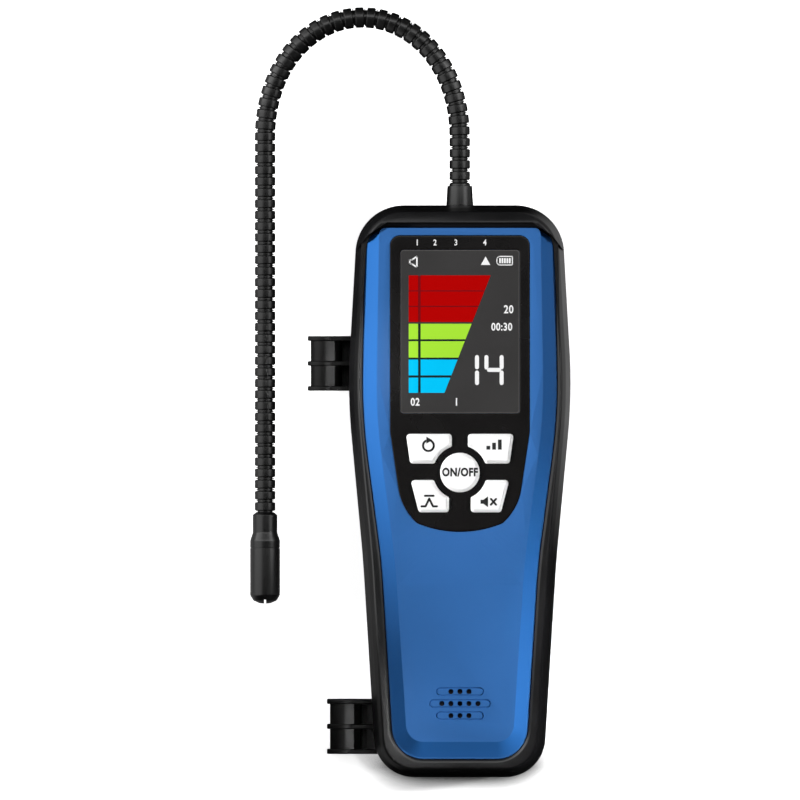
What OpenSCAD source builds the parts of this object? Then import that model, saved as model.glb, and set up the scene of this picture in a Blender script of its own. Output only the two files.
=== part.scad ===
/* [Casing] */
// Length of the casing
body_l = 200; // [190:1:215]
// Widest part of the casing
body_w = 77.5; // [74:0.5:84]
// Distance of the widest part from the middle of the length
widest_y = 38; // [30:1:46]
// How far each top corner stands in from the widest part
top_in = 2.25; // [1:0.25:4]
// Radius of the top corners
top_r = 17; // [14:0.5:20]
// How far each side of the foot stands in from the widest part
foot_in = 8.75; // [7:0.25:10]
// Radius of the foot corners
foot_r = 14; // [12:0.5:17]
// Radius of the shoulder curve
shoulder_r = 50; // [40:1:60]
// How far each side of the waist stands in from the widest part
waist_in = 4.95; // [4.5:0.05:5.5]
// Place of the waist along the length
waist_y = -25; // [-30:1:-20]
// Radius of the hollow waist curve
waist_r = 400; // [300:10:600]
// Height of the parting plane, where the neck leaves
split_z = 18; // [17.5:0.5:20]
// Height of the front rim
rim_z = 33; // [32:0.5:35]
// Wall of the shells
wall = 2.2; // [1.8:0.1:2.8]
// Wall at the back
back_wall = 4.2; // [4:0.1:5]
// Height of the deck that carries the panel
deck_z = 30; // [29:0.5:31]
// Thickness of the deck
deck_t = 2; // [1.6:0.1:2.4]
// Inset of the back face from the outline
back_edge = 6.5; // [5:0.5:8]
// Inset of the rim from the outline
rim_edge = 3.3; // [2.5:0.1:3.8]
// Radius of the case screw bosses
boss_r = 3.8; // [3.2:0.1:4.2]

/* [Bumper cap] */
// Height of the cap's front face
cap_z = 37.5; // [36.5:0.5:40]
// Depth of the cap in the middle
cap_drop = 6.1; // [6:0.1:7]
// Depth of the cap at the sides
cap_side_drop = 15; // [12:0.5:18]
// How far the straight stretch of the cap's edge stops from each side
cap_flat_in = 13.75; // [12:0.25:15]
// Depth of the cap at the shoulders of its edge
cap_shoulder_drop = 8.8; // [8.2:0.1:9.6]
// How far those shoulders stand from each side
cap_shoulder_in = 6.75; // [6:0.25:8]
// Inset of the cap's front face from the outline
cap_edge = 3; // [2.5:0.1:4]
// End wall of the shells under the cap
end_wall = 2.4; // [2:0.1:3]

/* [Front panel] */
// Rim above the panel
panel_top_rim = 8.1; // [7.9:0.1:8.7]
// Rim below the panel
panel_foot_rim = 6.6; // [6:0.1:8]
// Rim beside the panel's widest part
panel_rim = 4.85; // [4.25:0.05:5.75]
// Rim beside the panel's top corners
panel_corner_rim = 3.4; // [3:0.1:4]
// Rim beside the panel's foot
panel_foot_side = 6.3; // [5.5:0.1:7]
// Rim beside the panel's waist
panel_waist_rim = 6.4; // [6.1:0.05:6.7]
// Radius of the panel's hollow waist curve
panel_waist_r = 250; // [200:10:300]
// Radius of the panel's foot corners
panel_foot_r = 11; // [9:0.5:13]
// Height of the panel's flat face
panel_z = 36; // [35.5:0.5:38]
// Height where the bevel starts
panel_lip_z = 32.2; // [31.5:0.1:33]
// Width of the side bevels
bevel = 4.8; // [4:0.1:5.6]
// Width of the foot bevel
bevel_foot = 6; // [5:0.1:7]
// Width of the cut at each top corner
corner_cut_x = 5; // [4:0.5:6]
// Length of the cut at each top corner
corner_cut_y = 3.2; // [3:0.2:5]
// Wall of the panel
panel_wall = 1.8; // [1.6:0.1:1.9]
// Gap round the panel
panel_gap = 0.15; // [0.1:0.05:0.3]

/* [Sound holes] */
// Middle row above the panel's foot
grille_rise = 19.4; // [16:0.2:23]
// Distance between rows
grille_pitch = 4.2; // [3.6:0.1:5]
// Width of a row's recess
grille_w = 2.9; // [2.4:0.1:3.2]
// Depth of the recesses
grille_depth = 0.6; // [0.4:0.1:0.8]
// Distance between holes
hole_pitch = 3.15; // [2.6:0.05:3.4]
// Diameter of the holes
hole_d = 1.7; // [1.2:0.1:2]
// Diameter of the buzzer
buzzer_d = 20; // [16:0.5:22]

/* [Display] */
// Width of the bezel
bezel_w = 48.6; // [46:0.2:50]
// Strip of panel above the bezel
bezel_drop = 2.6; // [2:0.1:3]
// Bottom edge of the bezel
bezel_foot = -13.4; // [-15:0.1:-12.5]
// Radius of the bezel's top corners
bezel_r = 3.5; // [2.5:0.1:5]
// Thickness of the bezel
bezel_t = 1.15; // [1:0.05:1.3]
// Depth of the bezel's seat in the panel
bezel_seat = 1; // [0.8:0.05:1.1]
// Width of the window
window_w = 41.6; // [40:0.2:43]
// Strip of bezel above the window
window_drop = 5; // [4:0.1:6]
// Bottom edge of the window
window_foot = 27.2; // [26:0.1:29]
// Radius of the window's corners
window_r = 1.2; // [0.8:0.1:2]
// Thickness of the window
window_t = 0.9; // [0.7:0.05:1]

/* [Keys] */
// Diameter of the round key
round_key_d = 13.8; // [13:0.1:14.4]
// Place of the round key
key_y = 6.6; // [6:0.1:7.2]
// Gap between the round key's centre and the shaped keys
key_ring_r = 9.4; // [9:0.1:9.8]
// Height of the keys above the panel
key_rise = 1.2; // [0.9:0.1:1.6]
// Travel of the keys
key_travel = 0.8; // [0.6:0.1:1]
// Gap round each key
key_gap = 0.3; // [0.2:0.05:0.4]
// Width of the flange that keeps a key in
key_flange = 0.8; // [0.6:0.1:0.9]

/* [Board] */
// How far the board reaches past the display on each side
board_margin = 3.9; // [3.6:0.1:4.1]
// How far the board stops below the bezel's top edge
board_drop = 1.3; // [0.8:0.1:1.8]
// Bottom edge of the board
board_foot = -14; // [-15:0.5:-12]
// Thickness of the board
board_t = 1.6; // [1:0.1:2]
// Height of the board's standoffs
standoff_h = 1; // [0.8:0.1:1.4]

/* [Batteries] */
// Diameter of a cell
cell_d = 14.5; // [13.5:0.1:14.5]
// Length of a cell with its button
cell_l = 50.5; // [49:0.5:51]
// Distance between cells
cell_pitch = 15; // [14.8:0.1:15.2]
// Middle of the battery bay above the foot
bay_rise = 54; // [52:0.5:56]
// Length that the contact springs take up
spring_l = 6; // [5:0.5:7]
// Thickness of the battery door
door_t = 2.4; // [2:0.1:2.6]
// Gap between the door's face and the rest plane
door_recess = 0.4; // [0.3:0.1:0.6]
// Width of the door
door_w = 44; // [43:0.5:45]
// Width of the door's side tongues
tongue_w = 1.4; // [1:0.1:1.8]
// Gap round sliding and loose pieces
slide_gap = 0.3; // [0.2:0.05:0.4]

/* [Neck] */
// Diameter of the neck's rings
ring_d = 7.2; // [7:0.1:7.4]
// Width of the grooves between rings
groove_w = 0.9; // [0.9:0.05:1.1]
// Diameter of the ball at the end of a link
ball_d = 5.4; // [5:0.1:5.5]
// Radial clearance between ball and socket
ball_gap = 0.1; // [0.05:0.01:0.15]
// Distance between the neck's two straight stretches
neck_span = 68.1; // [66:0.1:72]
// Share by which the bend is tighter at its top than on average
bend_peak = 0.3; // [0.2:0.05:0.4]
// Height of the ferrule above the casing
ferrule_h = 8.4; // [8:0.2:9]
// Height of the ferrule's cone
ferrule_cone_h = 6.8; // [6:0.2:7]
// Diameter of the ferrule at the casing
ferrule_d = 9.4; // [9:0.1:10]
// Diameter of the ferrule at the top of its cone
ferrule_top_d = 8.7; // [8:0.1:9]

/* [Sensor head] */
// Diameter of the collar
collar_d = 8.2; // [8:0.1:9]
// Length of the collar
collar_l = 7.6; // [6:0.2:9]
// Diameter of the sensor barrel
barrel_d = 10.3; // [10.2:0.1:11]
// Length of the housing below the collar
housing_l = 4.9; // [4:0.1:6]
// Length of the cap with its dome
sensor_cap_l = 19.5; // [17:0.5:21]
// Height of the dome
dome_h = 2.4; // [2:0.1:3]
// Width of the slot across the tip
slot_w = 1; // [0.8:0.1:1.4]
// Depth of the slot
slot_depth = 2; // [1.6:0.1:2.2]

/* [Clips] */
// Bore of the clips
clip_bore = 10.5; // [10.4:0.1:11]
// Wall of the clips between their ribs
clip_wall = 1; // [0.8:0.1:1.4]
// Height of the ribs above the clip's wall
clip_rib = 0.7; // [0.5:0.1:1]
// Length of a clip
clip_l = 19.2; // [17:0.2:22]
// Width of a rib
clip_rib_w = 2; // [1.5:0.1:2.4]
// Half of the mouth's angle
clip_mouth = 42; // [36:1:48]
// Height of the clips' axis
clip_z = 10.2; // [9.8:0.1:10.6]
// Place of the upper clip
upper_clip_y = 44.7; // [42:0.1:48]
// Lower clip's place above the foot
lower_clip_rise = 17.6; // [16:0.1:22]
// Distance of the upper clip's bore from the casing
upper_clip_out = 8.9; // [8:0.1:11]
// Distance of the lower clip's bore from the casing
lower_clip_out = 10.4; // [8:0.1:13]
// Height of the clips' stems
stem_h = 6; // [5:0.2:7]
// Length of the tenon in the casing
tenon_l = 1.5; // [1:0.1:1.8]
// Gap round the tenon
tenon_gap = 0.1; // [0.05:0.05:0.2]

/* [Hidden] */
$fn = 48;
eps = 0.01;
far = 300;
body_top = body_l / 2;
body_foot = -body_l / 2;
top_w = body_w - 2 * top_in;
waist_w = body_w - 2 * waist_in;
foot_w = body_w - 2 * foot_in;
cap_y = body_top - cap_drop;
cap_side_y = body_top - cap_side_drop;
cap_flat_x = body_w / 2 - cap_flat_in;
cap_shoulder = [body_w / 2 - cap_shoulder_in, body_top - cap_shoulder_drop];
panel_top = body_top - panel_top_rim;
panel_foot = body_foot + panel_foot_rim;
panel_w = body_w - 2 * panel_rim;
panel_top_w = top_w - 2 * panel_corner_rim;
panel_foot_w = foot_w - 2 * panel_foot_side;
panel_waist_w = waist_w - 2 * panel_waist_rim;
grille_y = panel_foot + grille_rise;
bezel_top = panel_top - bezel_drop;
window_top = bezel_top - window_drop;
board_top = bezel_top - board_drop;
bay_y = body_foot + bay_rise;
lower_clip_y = body_foot + lower_clip_rise;

// Fractions of height and inset up the casing's flank and the cap's flank
flank = [[0, 0], [0.3, 0.06], [0.72, 0.45], [0.96, 0.84], [1, 1]];
cap_flank = [[0, 0], [0.35, 0.06], [0.7, 0.34], [0.92, 0.78], [1, 1.1]];
back_round_h = 9;
round_steps = 5;

// Outlines are closed loops of circles [x, y, radius, steps] joined by tangents, clockwise.
// A negative radius is a hollow curve.
function heading(a, b) = atan2(b.y - a.y, b.x - a.x);
function span(a, b) = norm([b.x - a.x, b.y - a.y]);
function tangent(a, b) = heading(a, b) + acos(max(-1, min(1, (a[2] - b[2]) / span(a, b))));
function turn(d) = d + eps - 360 * floor((d + eps) / 360) - eps;
function sweep(r, start, stop) = r > 0 ? -turn(start - stop) : turn(stop - start);
function arc(c, k, start, w) = [for (j = [0:c[3]]) let (a = start + w * j / c[3], r = c[2] - k)
    [c.x + r * cos(a), c.y + r * sin(a)]];
function outline(c, k = 0) = let (n = len(c))
    [for (i = [0:n - 1])
        let (before = c[(i + n - 1) % n], after = c[(i + 1) % n], start = tangent(before, c[i]))
        each arc(c[i], k, start, sweep(c[i][2], start, tangent(c[i], after)))];
function both_sides(c) = concat(c, [for (i = [len(c) - 1:-1:0]) [-c[i].x, c[i].y, c[i][2], c[i][3]]]);
function mirrored(c) = [for (i = [len(c) - 1:-1:0]) [-c[i].x, c[i].y, c[i][2], c[i][3]]];
function at_height(points, z) = [for (p = points) [p.x, p.y, z]];
// Curve of a side at its waist, from [half width, y] above, at and below it; hollow where it bends inwards
waist_share = 0.75;
function slope(a, b) = atan((a.x - b.x) / (a.y - b.y));
function waist_curve(above, at, below, r, steps) = let (
    upper = slope(above, at),
    lower = slope(at, below),
    lean = waist_share * upper + (1 - waist_share) * lower,
    s = upper > lower ? -r : r)
    [at.x - s * cos(lean), at.y + s * sin(lean), s, steps];

// Skin through rings that have the same number of points
module loft(rings) {
    n = len(rings[0]);
    last = len(rings) - 1;
    sides = [for (k = [0:last - 1]) for (i = [0:n - 1]) let (j = (i + 1) % n)
        each [[k * n + j, (k + 1) * n + j, (k + 1) * n + i], [k * n + j, (k + 1) * n + i, k * n + i]]];
    foot = [for (i = [n - 1:-1:0]) i];
    head = [for (i = [0:n - 1]) last * n + i];
    polyhedron([for (r = rings) each r], concat([foot, head], sides), convexity = 8);
}
module slab(points, low, high) {
    translate([0, 0, low]) linear_extrude(high - low) polygon(points);
}
module block(x0, x1, y0, y1, z0, z1) {
    translate([x0, y0, z0]) cube([x1 - x0, y1 - y0, z1 - z0]);
}
module centred(w, y0, y1, z0, z1) {
    block(-w / 2, w / 2, y0, y1, z0, z1);
}
module post(x, y, r, z0, z1) {
    translate([x, y, z0]) cylinder(r = r, h = z1 - z0);
}
// Turned piece along +Y, its profile given as [radius, distance along the axis]
module turned(profile) {
    rotate([-90, 0, 0]) rotate_extrude() polygon(profile);
}

// Casing outline, from its top edge to its foot
function casing_side(top) = [
    [top_w / 2 - top_r, top - top_r, top_r, 7],
    [body_w / 2 - shoulder_r, widest_y, shoulder_r, 2],
    waist_curve([body_w / 2, widest_y], [waist_w / 2, waist_y], [foot_w / 2, body_foot + foot_r], waist_r, 1),
    [foot_w / 2 - foot_r, body_foot + foot_r, foot_r, 7]
];
casing = both_sides(casing_side(body_top));
// Outline of the inside at an inset, which always ends at the shells' end wall
function cavity(k) = outline(both_sides(casing_side(cap_y - end_wall + k)), k);
function half_w(y) = lookup(y, [for (p = outline(casing)) if (p.x > 0) [p.y, p.x]]);

back_rings = [for (i = [0:round_steps]) let (a = 90 * i / round_steps)
    [back_round_h * (1 - cos(a)), back_edge * (1 - sin(a))]];
function flank_rings(steps, top, inset) = [for (f = steps) [split_z + f[0] * (top - split_z), f[1] * inset]];
module casing_loft(rings) {
    loft([for (r = rings) at_height(outline(casing, r[1]), r[0])]);
}
rear_rings = concat(back_rings, [[split_z, 0]]);
front_rings = flank_rings(flank, rim_z, rim_edge);
cap_rings = concat(back_rings, flank_rings(cap_flank, cap_z, cap_edge));

// Region that the bumper cap takes, over the whole depth
seam = 0.15;
module cap_region(drop) {
    fall = (cap_shoulder.y - cap_side_y) / (body_w / 2 - cap_shoulder.x);
    out_y = cap_shoulder.y - fall * (body_w - cap_shoulder.x);
    right = [[cap_flat_x, cap_y], cap_shoulder, [body_w, out_y], [body_w, body_l]];
    translate([0, -drop, -far / 2]) linear_extrude(far)
        polygon(concat(right, [for (i = [3:-1:0]) [-right[i].x, right[i].y]]));
}

// Case screws
screw_r = 1.45;
screw_fit = 0.05;
screw_head_r = 2.8;
screw_head_h = 2;
screw_seat = 6;
screw_depth = 6;
upper_screw_drop = 30;
upper_screw_y = body_top - upper_screw_drop;
lower_screw_y = -22;
function screw_x(y) = half_w(y) - wall - boss_r;
screw_spots = [for (y = [upper_screw_y, lower_screw_y]) for (s = [-1, 1]) [s * screw_x(y), y]];

// Front panel outline, from its outer edge (t = 0) to its flat face (t = 1)
panel_edge_r = 2;
panel_shoulder_r = 50;
panel_widest_y = 38;
panel_waist_y = -26;
function panel_side(t) = [
    [panel_top_w / 2 - corner_cut_x - panel_edge_r, panel_top - panel_edge_r, panel_edge_r, 2],
    [panel_top_w / 2 - panel_edge_r - bevel * t, panel_top - corner_cut_y * (1 - t / 2) - panel_edge_r,
        panel_edge_r, 2],
    [panel_w / 2 - panel_shoulder_r, panel_widest_y, panel_shoulder_r - bevel * t, 2],
    waist_curve([panel_w / 2 - bevel * t, panel_widest_y], [panel_waist_w / 2 - bevel * t, panel_waist_y],
        [panel_foot_w / 2 - bevel * t, panel_foot + panel_foot_r], panel_waist_r, 2),
    [panel_foot_w / 2 - panel_foot_r, panel_foot + panel_foot_r + (bevel_foot - bevel) * t,
        panel_foot_r - bevel * t, 5]
];
function panel_outline(t, k = 0) = outline(both_sides(panel_side(t)), k);
panel_under = panel_z - panel_wall;
panel_rings = [[deck_z, 0], [panel_lip_z, 0], [panel_z - 0.35, 0.93], [panel_z - 0.1, 0.98], [panel_z, 1.03]];
panel_hollow = [[deck_z - 1, 0], [panel_lip_z - panel_wall / 2, 0], [panel_under, 0.9]];

// Bezel outline
bezel_knee_r = 10;
bezel_knee_y = 21.5;
bezel_curve_r = 20;
bezel_curve_x = 1.6;
bezel_curve_y = 3.9;
bezel_foot_x = 11.4;
bezel_foot_r = 1.5;
bezel = both_sides([
    [bezel_w / 2 - bezel_r, bezel_top - bezel_r, bezel_r, 5],
    [bezel_w / 2 - bezel_knee_r, bezel_knee_y, bezel_knee_r, 2],
    [bezel_curve_x, bezel_curve_y, bezel_curve_r, 6],
    [bezel_foot_x, bezel_foot + bezel_foot_r, bezel_foot_r, 2]
]);
bezel_gap = 0.1;
bezel_z = panel_z - bezel_seat;
function frame_loop(w, y0, y1, r) = both_sides([[w / 2 - r, y1 - r, r, 3], [w / 2 - r, y0 + r, r, 3]]);
window = frame_loop(window_w, window_foot, window_top, window_r);

// Keys: [inner x, outer x, top, foot, how far the outer side slants in]
upper_key = [2.8, 18.6, 20.1, 9.7, 1.1];
lower_key = [3.8, 16.9, 4, -7.3, 2.3];
key_r = 1.2;
key_tip_r = 0.8;
key_flange_t = 0.7;
key_top = panel_z + key_rise;
key_flange_z = panel_under - key_gap - key_flange_t;
key_edge = [[0, 0], [0.35, 0.12], [0.5, 0.5]];
function key_tip_x(y) = sqrt(pow(key_ring_r + key_tip_r, 2) - pow(y - key_y, 2));
function key_tip_y(x) = sqrt(pow(key_ring_r + key_tip_r, 2) - x * x);
function upper_key_loop(k) = let (tip_x = k[0] + key_tip_r, tip_y = k[3] + key_tip_r) [
    [k[0] + key_r, k[2] - key_r, key_r, 3],
    [k[1] - key_r, k[2] - key_r, key_r, 3],
    [k[1] - k[4] - key_r, k[3] + key_r, key_r, 3],
    [key_tip_x(tip_y), tip_y, key_tip_r, 3],
    [0, key_y, -key_ring_r, 6],
    [tip_x, key_y + key_tip_y(tip_x), key_tip_r, 3]
];
function lower_key_loop(k) = let (tip_x = k[0] + key_tip_r, tip_y = k[2] - key_tip_r) [
    [key_tip_x(tip_y), tip_y, key_tip_r, 3],
    [k[1] - key_r, k[2] - key_r, key_r, 3],
    [k[1] - k[4] - key_r, k[3] + key_r, key_r, 3],
    [k[0] + key_r, k[3] + key_r, key_r, 3],
    [tip_x, key_y - key_tip_y(tip_x), key_tip_r, 3],
    [0, key_y, -key_ring_r, 6]
];
right_keys = [upper_key_loop(upper_key), lower_key_loop(lower_key)];
key_loops = concat(right_keys, [for (k = right_keys) mirrored(k)]);
function key_middle(k) = [(k[0] + k[1]) / 2 + 1, (k[2] + k[3]) / 2];
right_middles = [key_middle(upper_key), key_middle(lower_key)];
switch_spots = concat([[0, key_y]], right_middles, [for (m = right_middles) [-m.x, m.y]]);

// Heights inside the casing
deck_under = deck_z - deck_t;
board_z1 = deck_under - standoff_h;
board_z0 = board_z1 - board_t;
cavity_draft = 1.2;
// Height above the back wall and extra inset of the rear shell's inside
inner_round = [[0, 3], [3, 1.2], [8, 0.3]];
inner_rings = concat([for (r = inner_round) [back_wall + r[0], wall + r[1]]], [[split_z + 1, wall]]);

// Display, switches and board screws
lcd_margin = 2.3;
board_w = window_w + 2 * lcd_margin + 2 * board_margin;
lcd_gap = 0.3;
lcd_top_z = panel_under - lcd_gap;
glass_gap = 0.2;
switch_w = 6;
switch_h = 3.4;
switch_plunger_r = 1.75;
switch_top = key_flange_z - key_travel - key_gap;
switch_reach = upper_key[1] - key_r;
board_edge_gap = 1.9;
board_screw_x = board_w / 2 - board_edge_gap;
board_screw_inset = [14, 8];
board_screw_ys = [board_foot + board_screw_inset[0], board_top - board_screw_inset[1]];
board_screw_spots = [for (y = board_screw_ys) for (s = [-1, 1]) [s * board_screw_x, y]];
board_screw_r = 0.9;
board_head_r = 1.6;
board_head_h = 1;
standoff_r = 1.7;
pilot_depth = 1.4;
buzzer_gap = 0.4;
boss_gap = 1;

// Battery bay
cells = 3;
contact_t = 0.4;
contact_gap = 0.2;
contact_h = 11;
cell_button_d = 5.5;
cell_button_l = 1.5;
tray_wall = 1.5;
bay_l = cell_l + spring_l + 2 * (contact_t + contact_gap);
bay_y0 = bay_y - bay_l / 2;
bay_y1 = bay_y + bay_l / 2;
bay_w = cell_pitch * cells + 2 * slide_gap;
door_top_z = door_recess + door_t;
cell_z = door_top_z + slide_gap + cell_d / 2;
bay_roof = cell_z + cell_d / 2 + slide_gap;
door_y1 = bay_y1 + tray_wall / 2;
tongue_t = 1;
tongue_z = door_top_z - tongue_t - 0.2;
grip_w = 1.2;
grip_pitch = 3;
grip_depth = 0.5;
grip_l = 18;
grip_drop = 7.6;
grip_y = door_y1 - grip_drop;
grips = 4;
wire_r = 0.4;
coil_r = 4.6;
coil_tip_r = 2.8;
coil_turns = 3;
coil_steps = 10;
coil_sides = 6;
wire_gap = 0.05;

// Neck: straight base, bend and straight leg, counted in rings
base_rings = 6;
bend_links = 9;
rings_per_bend_link = 3;
leg_links = 5;
rings_per_leg_link = 7;
bend_rings = bend_links * rings_per_bend_link;
neck_rings = base_rings + bend_rings + leg_links * rings_per_leg_link;
turn_start = 4;
turn_rings = 30.5;
ring_edge = 0.4;
neck_y = body_top + ferrule_h;
spigot_r = 2.5;
spigot_l = 6;
spigot_fit = 0.05;
function turned_share(i) = min(1, max(0, (i + 0.5 - turn_start) / turn_rings));
function neck_angle(i) = 180 * turned_share(i) - bend_peak * 90 / PI * sin(360 * turned_share(i));
function reach(i) = i == 0 ? [0, 0] : reach(i - 1) + [-sin(neck_angle(i - 1)), cos(neck_angle(i - 1))];
reaches = [for (i = [0:neck_rings]) reach(i)];
ring_pitch = -neck_span / reaches[neck_rings].x;
function neck_point(i) = [0, neck_y] + ring_pitch * reaches[i];
ring_start = groove_w / 2;
ring_end = ring_pitch - groove_w / 2;
ring_r = ring_d / 2;
ring_profile = [[0, ring_start], [ring_r - ring_edge, ring_start], [ring_r, ring_start + ring_edge],
    [ring_r, ring_end - ring_edge], [ring_r - ring_edge, ring_end], [0, ring_end]];
links = bend_links + leg_links;
function link_first(k) = k <= bend_links ? base_rings + (k - 1) * rings_per_bend_link
    : base_rings + bend_rings + (k - bend_links - 1) * rings_per_leg_link;
function link_rings(k) = k <= bend_links ? rings_per_bend_link : rings_per_leg_link;

// Ferrule
ferrule_flange_r = 6.5;
ferrule_flange_t = 2;
ferrule_fit = 0.1;
ferrule_bore_l = 12;
wall_y = cap_y - end_wall;
ferrule_end = neck_y - groove_w / 2;

// Sensor head, along the leg's axis from the neck's end
head = neck_point(neck_rings);
cap_start = collar_l + housing_l;
cap_end = cap_start + sensor_cap_l;
collar_lip = 0.45;
collar_lip_l = 1.6;
flare_l = 2.8;
plug_r = 4.2;
plug_l = 5.5;
cap_fit = 0.05;
seal_groove = 0.6;
seal_groove_w = 1.3;
seal_r = 0.27;
seal_at = cap_start + 2.6;
element_r = 3.4;
element_l = 6;
filter_t = 1.5;
filter_gap = 0.1;
tip_wall = 1.8;
tip_r = 1.4;
dome_steps = 5;

// Clips
clip_r = clip_bore / 2;
clip_outer = clip_r + clip_wall + clip_rib;
stem_l = clip_l - 2 * clip_rib_w;
web_h = 9;
web_gap = 0.3;
stem_root = 0.3;
lip_over = 0.1;
pad_margin = 2;
upper_clip_x = half_w(upper_clip_y) + upper_clip_out;
lower_clip_x = half_w(lower_clip_y) + lower_clip_out;
clip_spots = [[upper_clip_x, upper_clip_y], [lower_clip_x, lower_clip_y]];

module neck_hole() {
    translate([0, 0, split_z]) rotate([-90, 0, 0]) cylinder(r = ferrule_d / 2 + ferrule_fit, h = far);
}

module front_shell() {
    color("#1b1b1b") difference() {
        union() {
            difference() {
                casing_loft(front_rings);
                loft([at_height(cavity(wall), split_z - 1), at_height(cavity(wall + cavity_draft), deck_under)]);
            }
            for (p = screw_spots) post(p.x, p.y, boss_r, split_z, deck_under + eps);
            for (p = board_screw_spots) post(p.x, p.y, standoff_r, board_z1, deck_under + eps);
        }
        slab(panel_outline(0, -panel_gap), deck_z, far);
        lcd_outline(lcd_gap, deck_under - 1, far);
        centred(2 * switch_reach, lower_key[3], upper_key[2], deck_under - 1, far);
        for (p = screw_spots)
            post(p.x, p.y, screw_r + screw_fit, split_z - 1, split_z + screw_depth + screw_fit);
        for (p = board_screw_spots) post(p.x, p.y, board_screw_r + screw_fit, 0, deck_under + pilot_depth);
        cap_region(seam);
        neck_hole();
    }
}

module lcd_outline(grow, low, high) {
    slab(outline(frame_loop(window_w + 2 * (lcd_margin + grow), window_foot - lcd_margin - grow,
        window_top + lcd_margin + grow, window_r)), low, high);
}

module rear_shell() {
    color("#191919") difference() {
        union() {
            difference() {
                casing_loft(rear_rings);
                loft([for (r = inner_rings) at_height(cavity(r[1]), r[0])]);
            }
            for (p = screw_spots) post(p.x, p.y, boss_r, back_wall - eps, split_z);
            centred(bay_w + 2 * tray_wall, bay_y0 - tray_wall, bay_y1 + tray_wall,
                back_wall - eps, bay_roof + tray_wall);
            for (c = clip_spots) clip_pad(c.y);
        }
        centred(bay_w, bay_y0, bay_y1, door_top_z, bay_roof);
        centred(door_w + 2 * slide_gap, -far, door_y1 + slide_gap, -1, door_top_z + slide_gap);
        centred(door_w + 2 * (tongue_w + slide_gap), -far, door_y1 + slide_gap,
            tongue_z - slide_gap, tongue_z + tongue_t + slide_gap);
        for (p = screw_spots) {
            post(p.x, p.y, screw_head_r + slide_gap, -1, screw_seat);
            post(p.x, p.y, screw_r + slide_gap, 0, split_z + 1);
        }
        for (c = clip_spots) clip_socket(c.y);
        cap_region(seam);
        neck_hole();
    }
}
// Block at a clip's stem, from just inside the casing's side to a depth, grown all round
module at_stem(y, out, depth, grow) {
    block(-half_w(y) - out, -half_w(y) + tenon_l + depth, y - stem_l / 2 - grow, y + stem_l / 2 + grow,
        clip_z - stem_h / 2 - grow, clip_z + stem_h / 2 + grow);
}
module clip_pad(y) {
    at_stem(y, -wall, pad_margin, pad_margin);
}
module clip_socket(y) {
    at_stem(y, wall, tenon_gap, tenon_gap);
}

module top_cap() {
    color("#202020") difference() {
        intersection() {
            casing_loft(cap_rings);
            cap_region(0);
        }
        neck_hole();
    }
}

module front_panel() {
    color("#3568a8") difference() {
        loft([for (r = panel_rings) at_height(panel_outline(r[1]), r[0])]);
        loft([for (r = panel_hollow) at_height(panel_outline(r[1], panel_wall), r[0])]);
        slab(outline(bezel, -bezel_gap), bezel_z, far);
        slab(outline(window), 0, far);
        key_holes(0, far);
        for (row = [-1:1]) grille_row(row);
    }
}
module grille_row(row) {
    side_holes = row == 0 ? 2 : 1;
    reach = side_holes * hole_pitch + grille_w / 2 + 0.9;
    y = grille_y + row * grille_pitch;
    slab(outline(frame_loop(2 * reach, y - grille_w / 2, y + grille_w / 2, grille_w / 2 - eps)),
        panel_z - grille_depth, far);
    for (i = [-side_holes:side_holes]) post(i * hole_pitch, y, hole_d / 2, 0, far);
}
module key_holes(low, high) {
    for (k = key_loops) slab(outline(k, -key_gap), low, high);
    post(0, key_y, round_key_d / 2 + key_gap, low, high);
}

module display_bezel() {
    color("#1a1c1e") difference() {
        slab(outline(bezel), bezel_z, bezel_z + bezel_t);
        slab(outline(window, -bezel_gap), 0, far);
        key_holes(0, far);
    }
}
module display_window() {
    color("#393b3c") slab(outline(window), bezel_z, bezel_z + window_t);
}
module lcd_module() {
    color("#2c3338") {
        lcd_outline(0, board_z1, lcd_top_z);
        slab(outline(window, glass_gap), lcd_top_z - eps, bezel_z);
    }
}

// Steps of a key from its flange to its rounded top edge: [height, inset]
key_steps = concat([[key_flange_z, -key_flange], [key_flange_z + key_flange_t, -key_flange],
    [key_flange_z + key_flange_t, 0]], [for (e = key_edge) [key_top - key_edge[2][0] + e[0], e[1]]]);
module shaped_key(k) {
    color("#f2f2f2") loft([for (e = key_steps) at_height(outline(k, e[1]), e[0])]);
}
module power_button() {
    color("#f4f4f4") translate([0, key_y, 0]) rotate_extrude()
        polygon(concat([[0, key_flange_z]], [for (e = key_steps) [round_key_d / 2 - e[1], e[0]]],
            [[0, key_top]]));
}
module level_button() { shaped_key(key_loops[0]); }
module mute_button() { shaped_key(key_loops[1]); }
module reset_button() { shaped_key(key_loops[2]); }
module peak_button() { shaped_key(key_loops[3]); }

module key_switches() {
    color("#c9c9c4") for (p = switch_spots) {
        translate([p.x, 0, 0])
            centred(switch_w, p.y - switch_w / 2, p.y + switch_w / 2, board_z1, board_z1 + switch_h);
        post(p.x, p.y, switch_plunger_r, board_z1 + switch_h - eps, switch_top);
    }
}
module main_board() {
    color("#1f5a38") difference() {
        slab(outline(frame_loop(board_w, board_foot, board_top, window_r)), board_z0, board_z1);
        for (p = board_screw_spots) post(p.x, p.y, board_screw_r + slide_gap, 0, far);
        for (p = screw_spots) post(p.x, p.y, boss_r + boss_gap, 0, far);
    }
}
module buzzer() {
    color("#151515") translate([0, grille_y, deck_z]) difference() {
        cylinder(d = buzzer_d, h = panel_under - deck_z - buzzer_gap);
        translate([0, 0, 1]) cylinder(r = hole_d, h = far);
    }
}

function cell_x(i) = (i - (cells + 1) / 2) * cell_pitch;
function cell_way(i) = i % 2 == 0 ? -1 : 1;
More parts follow.
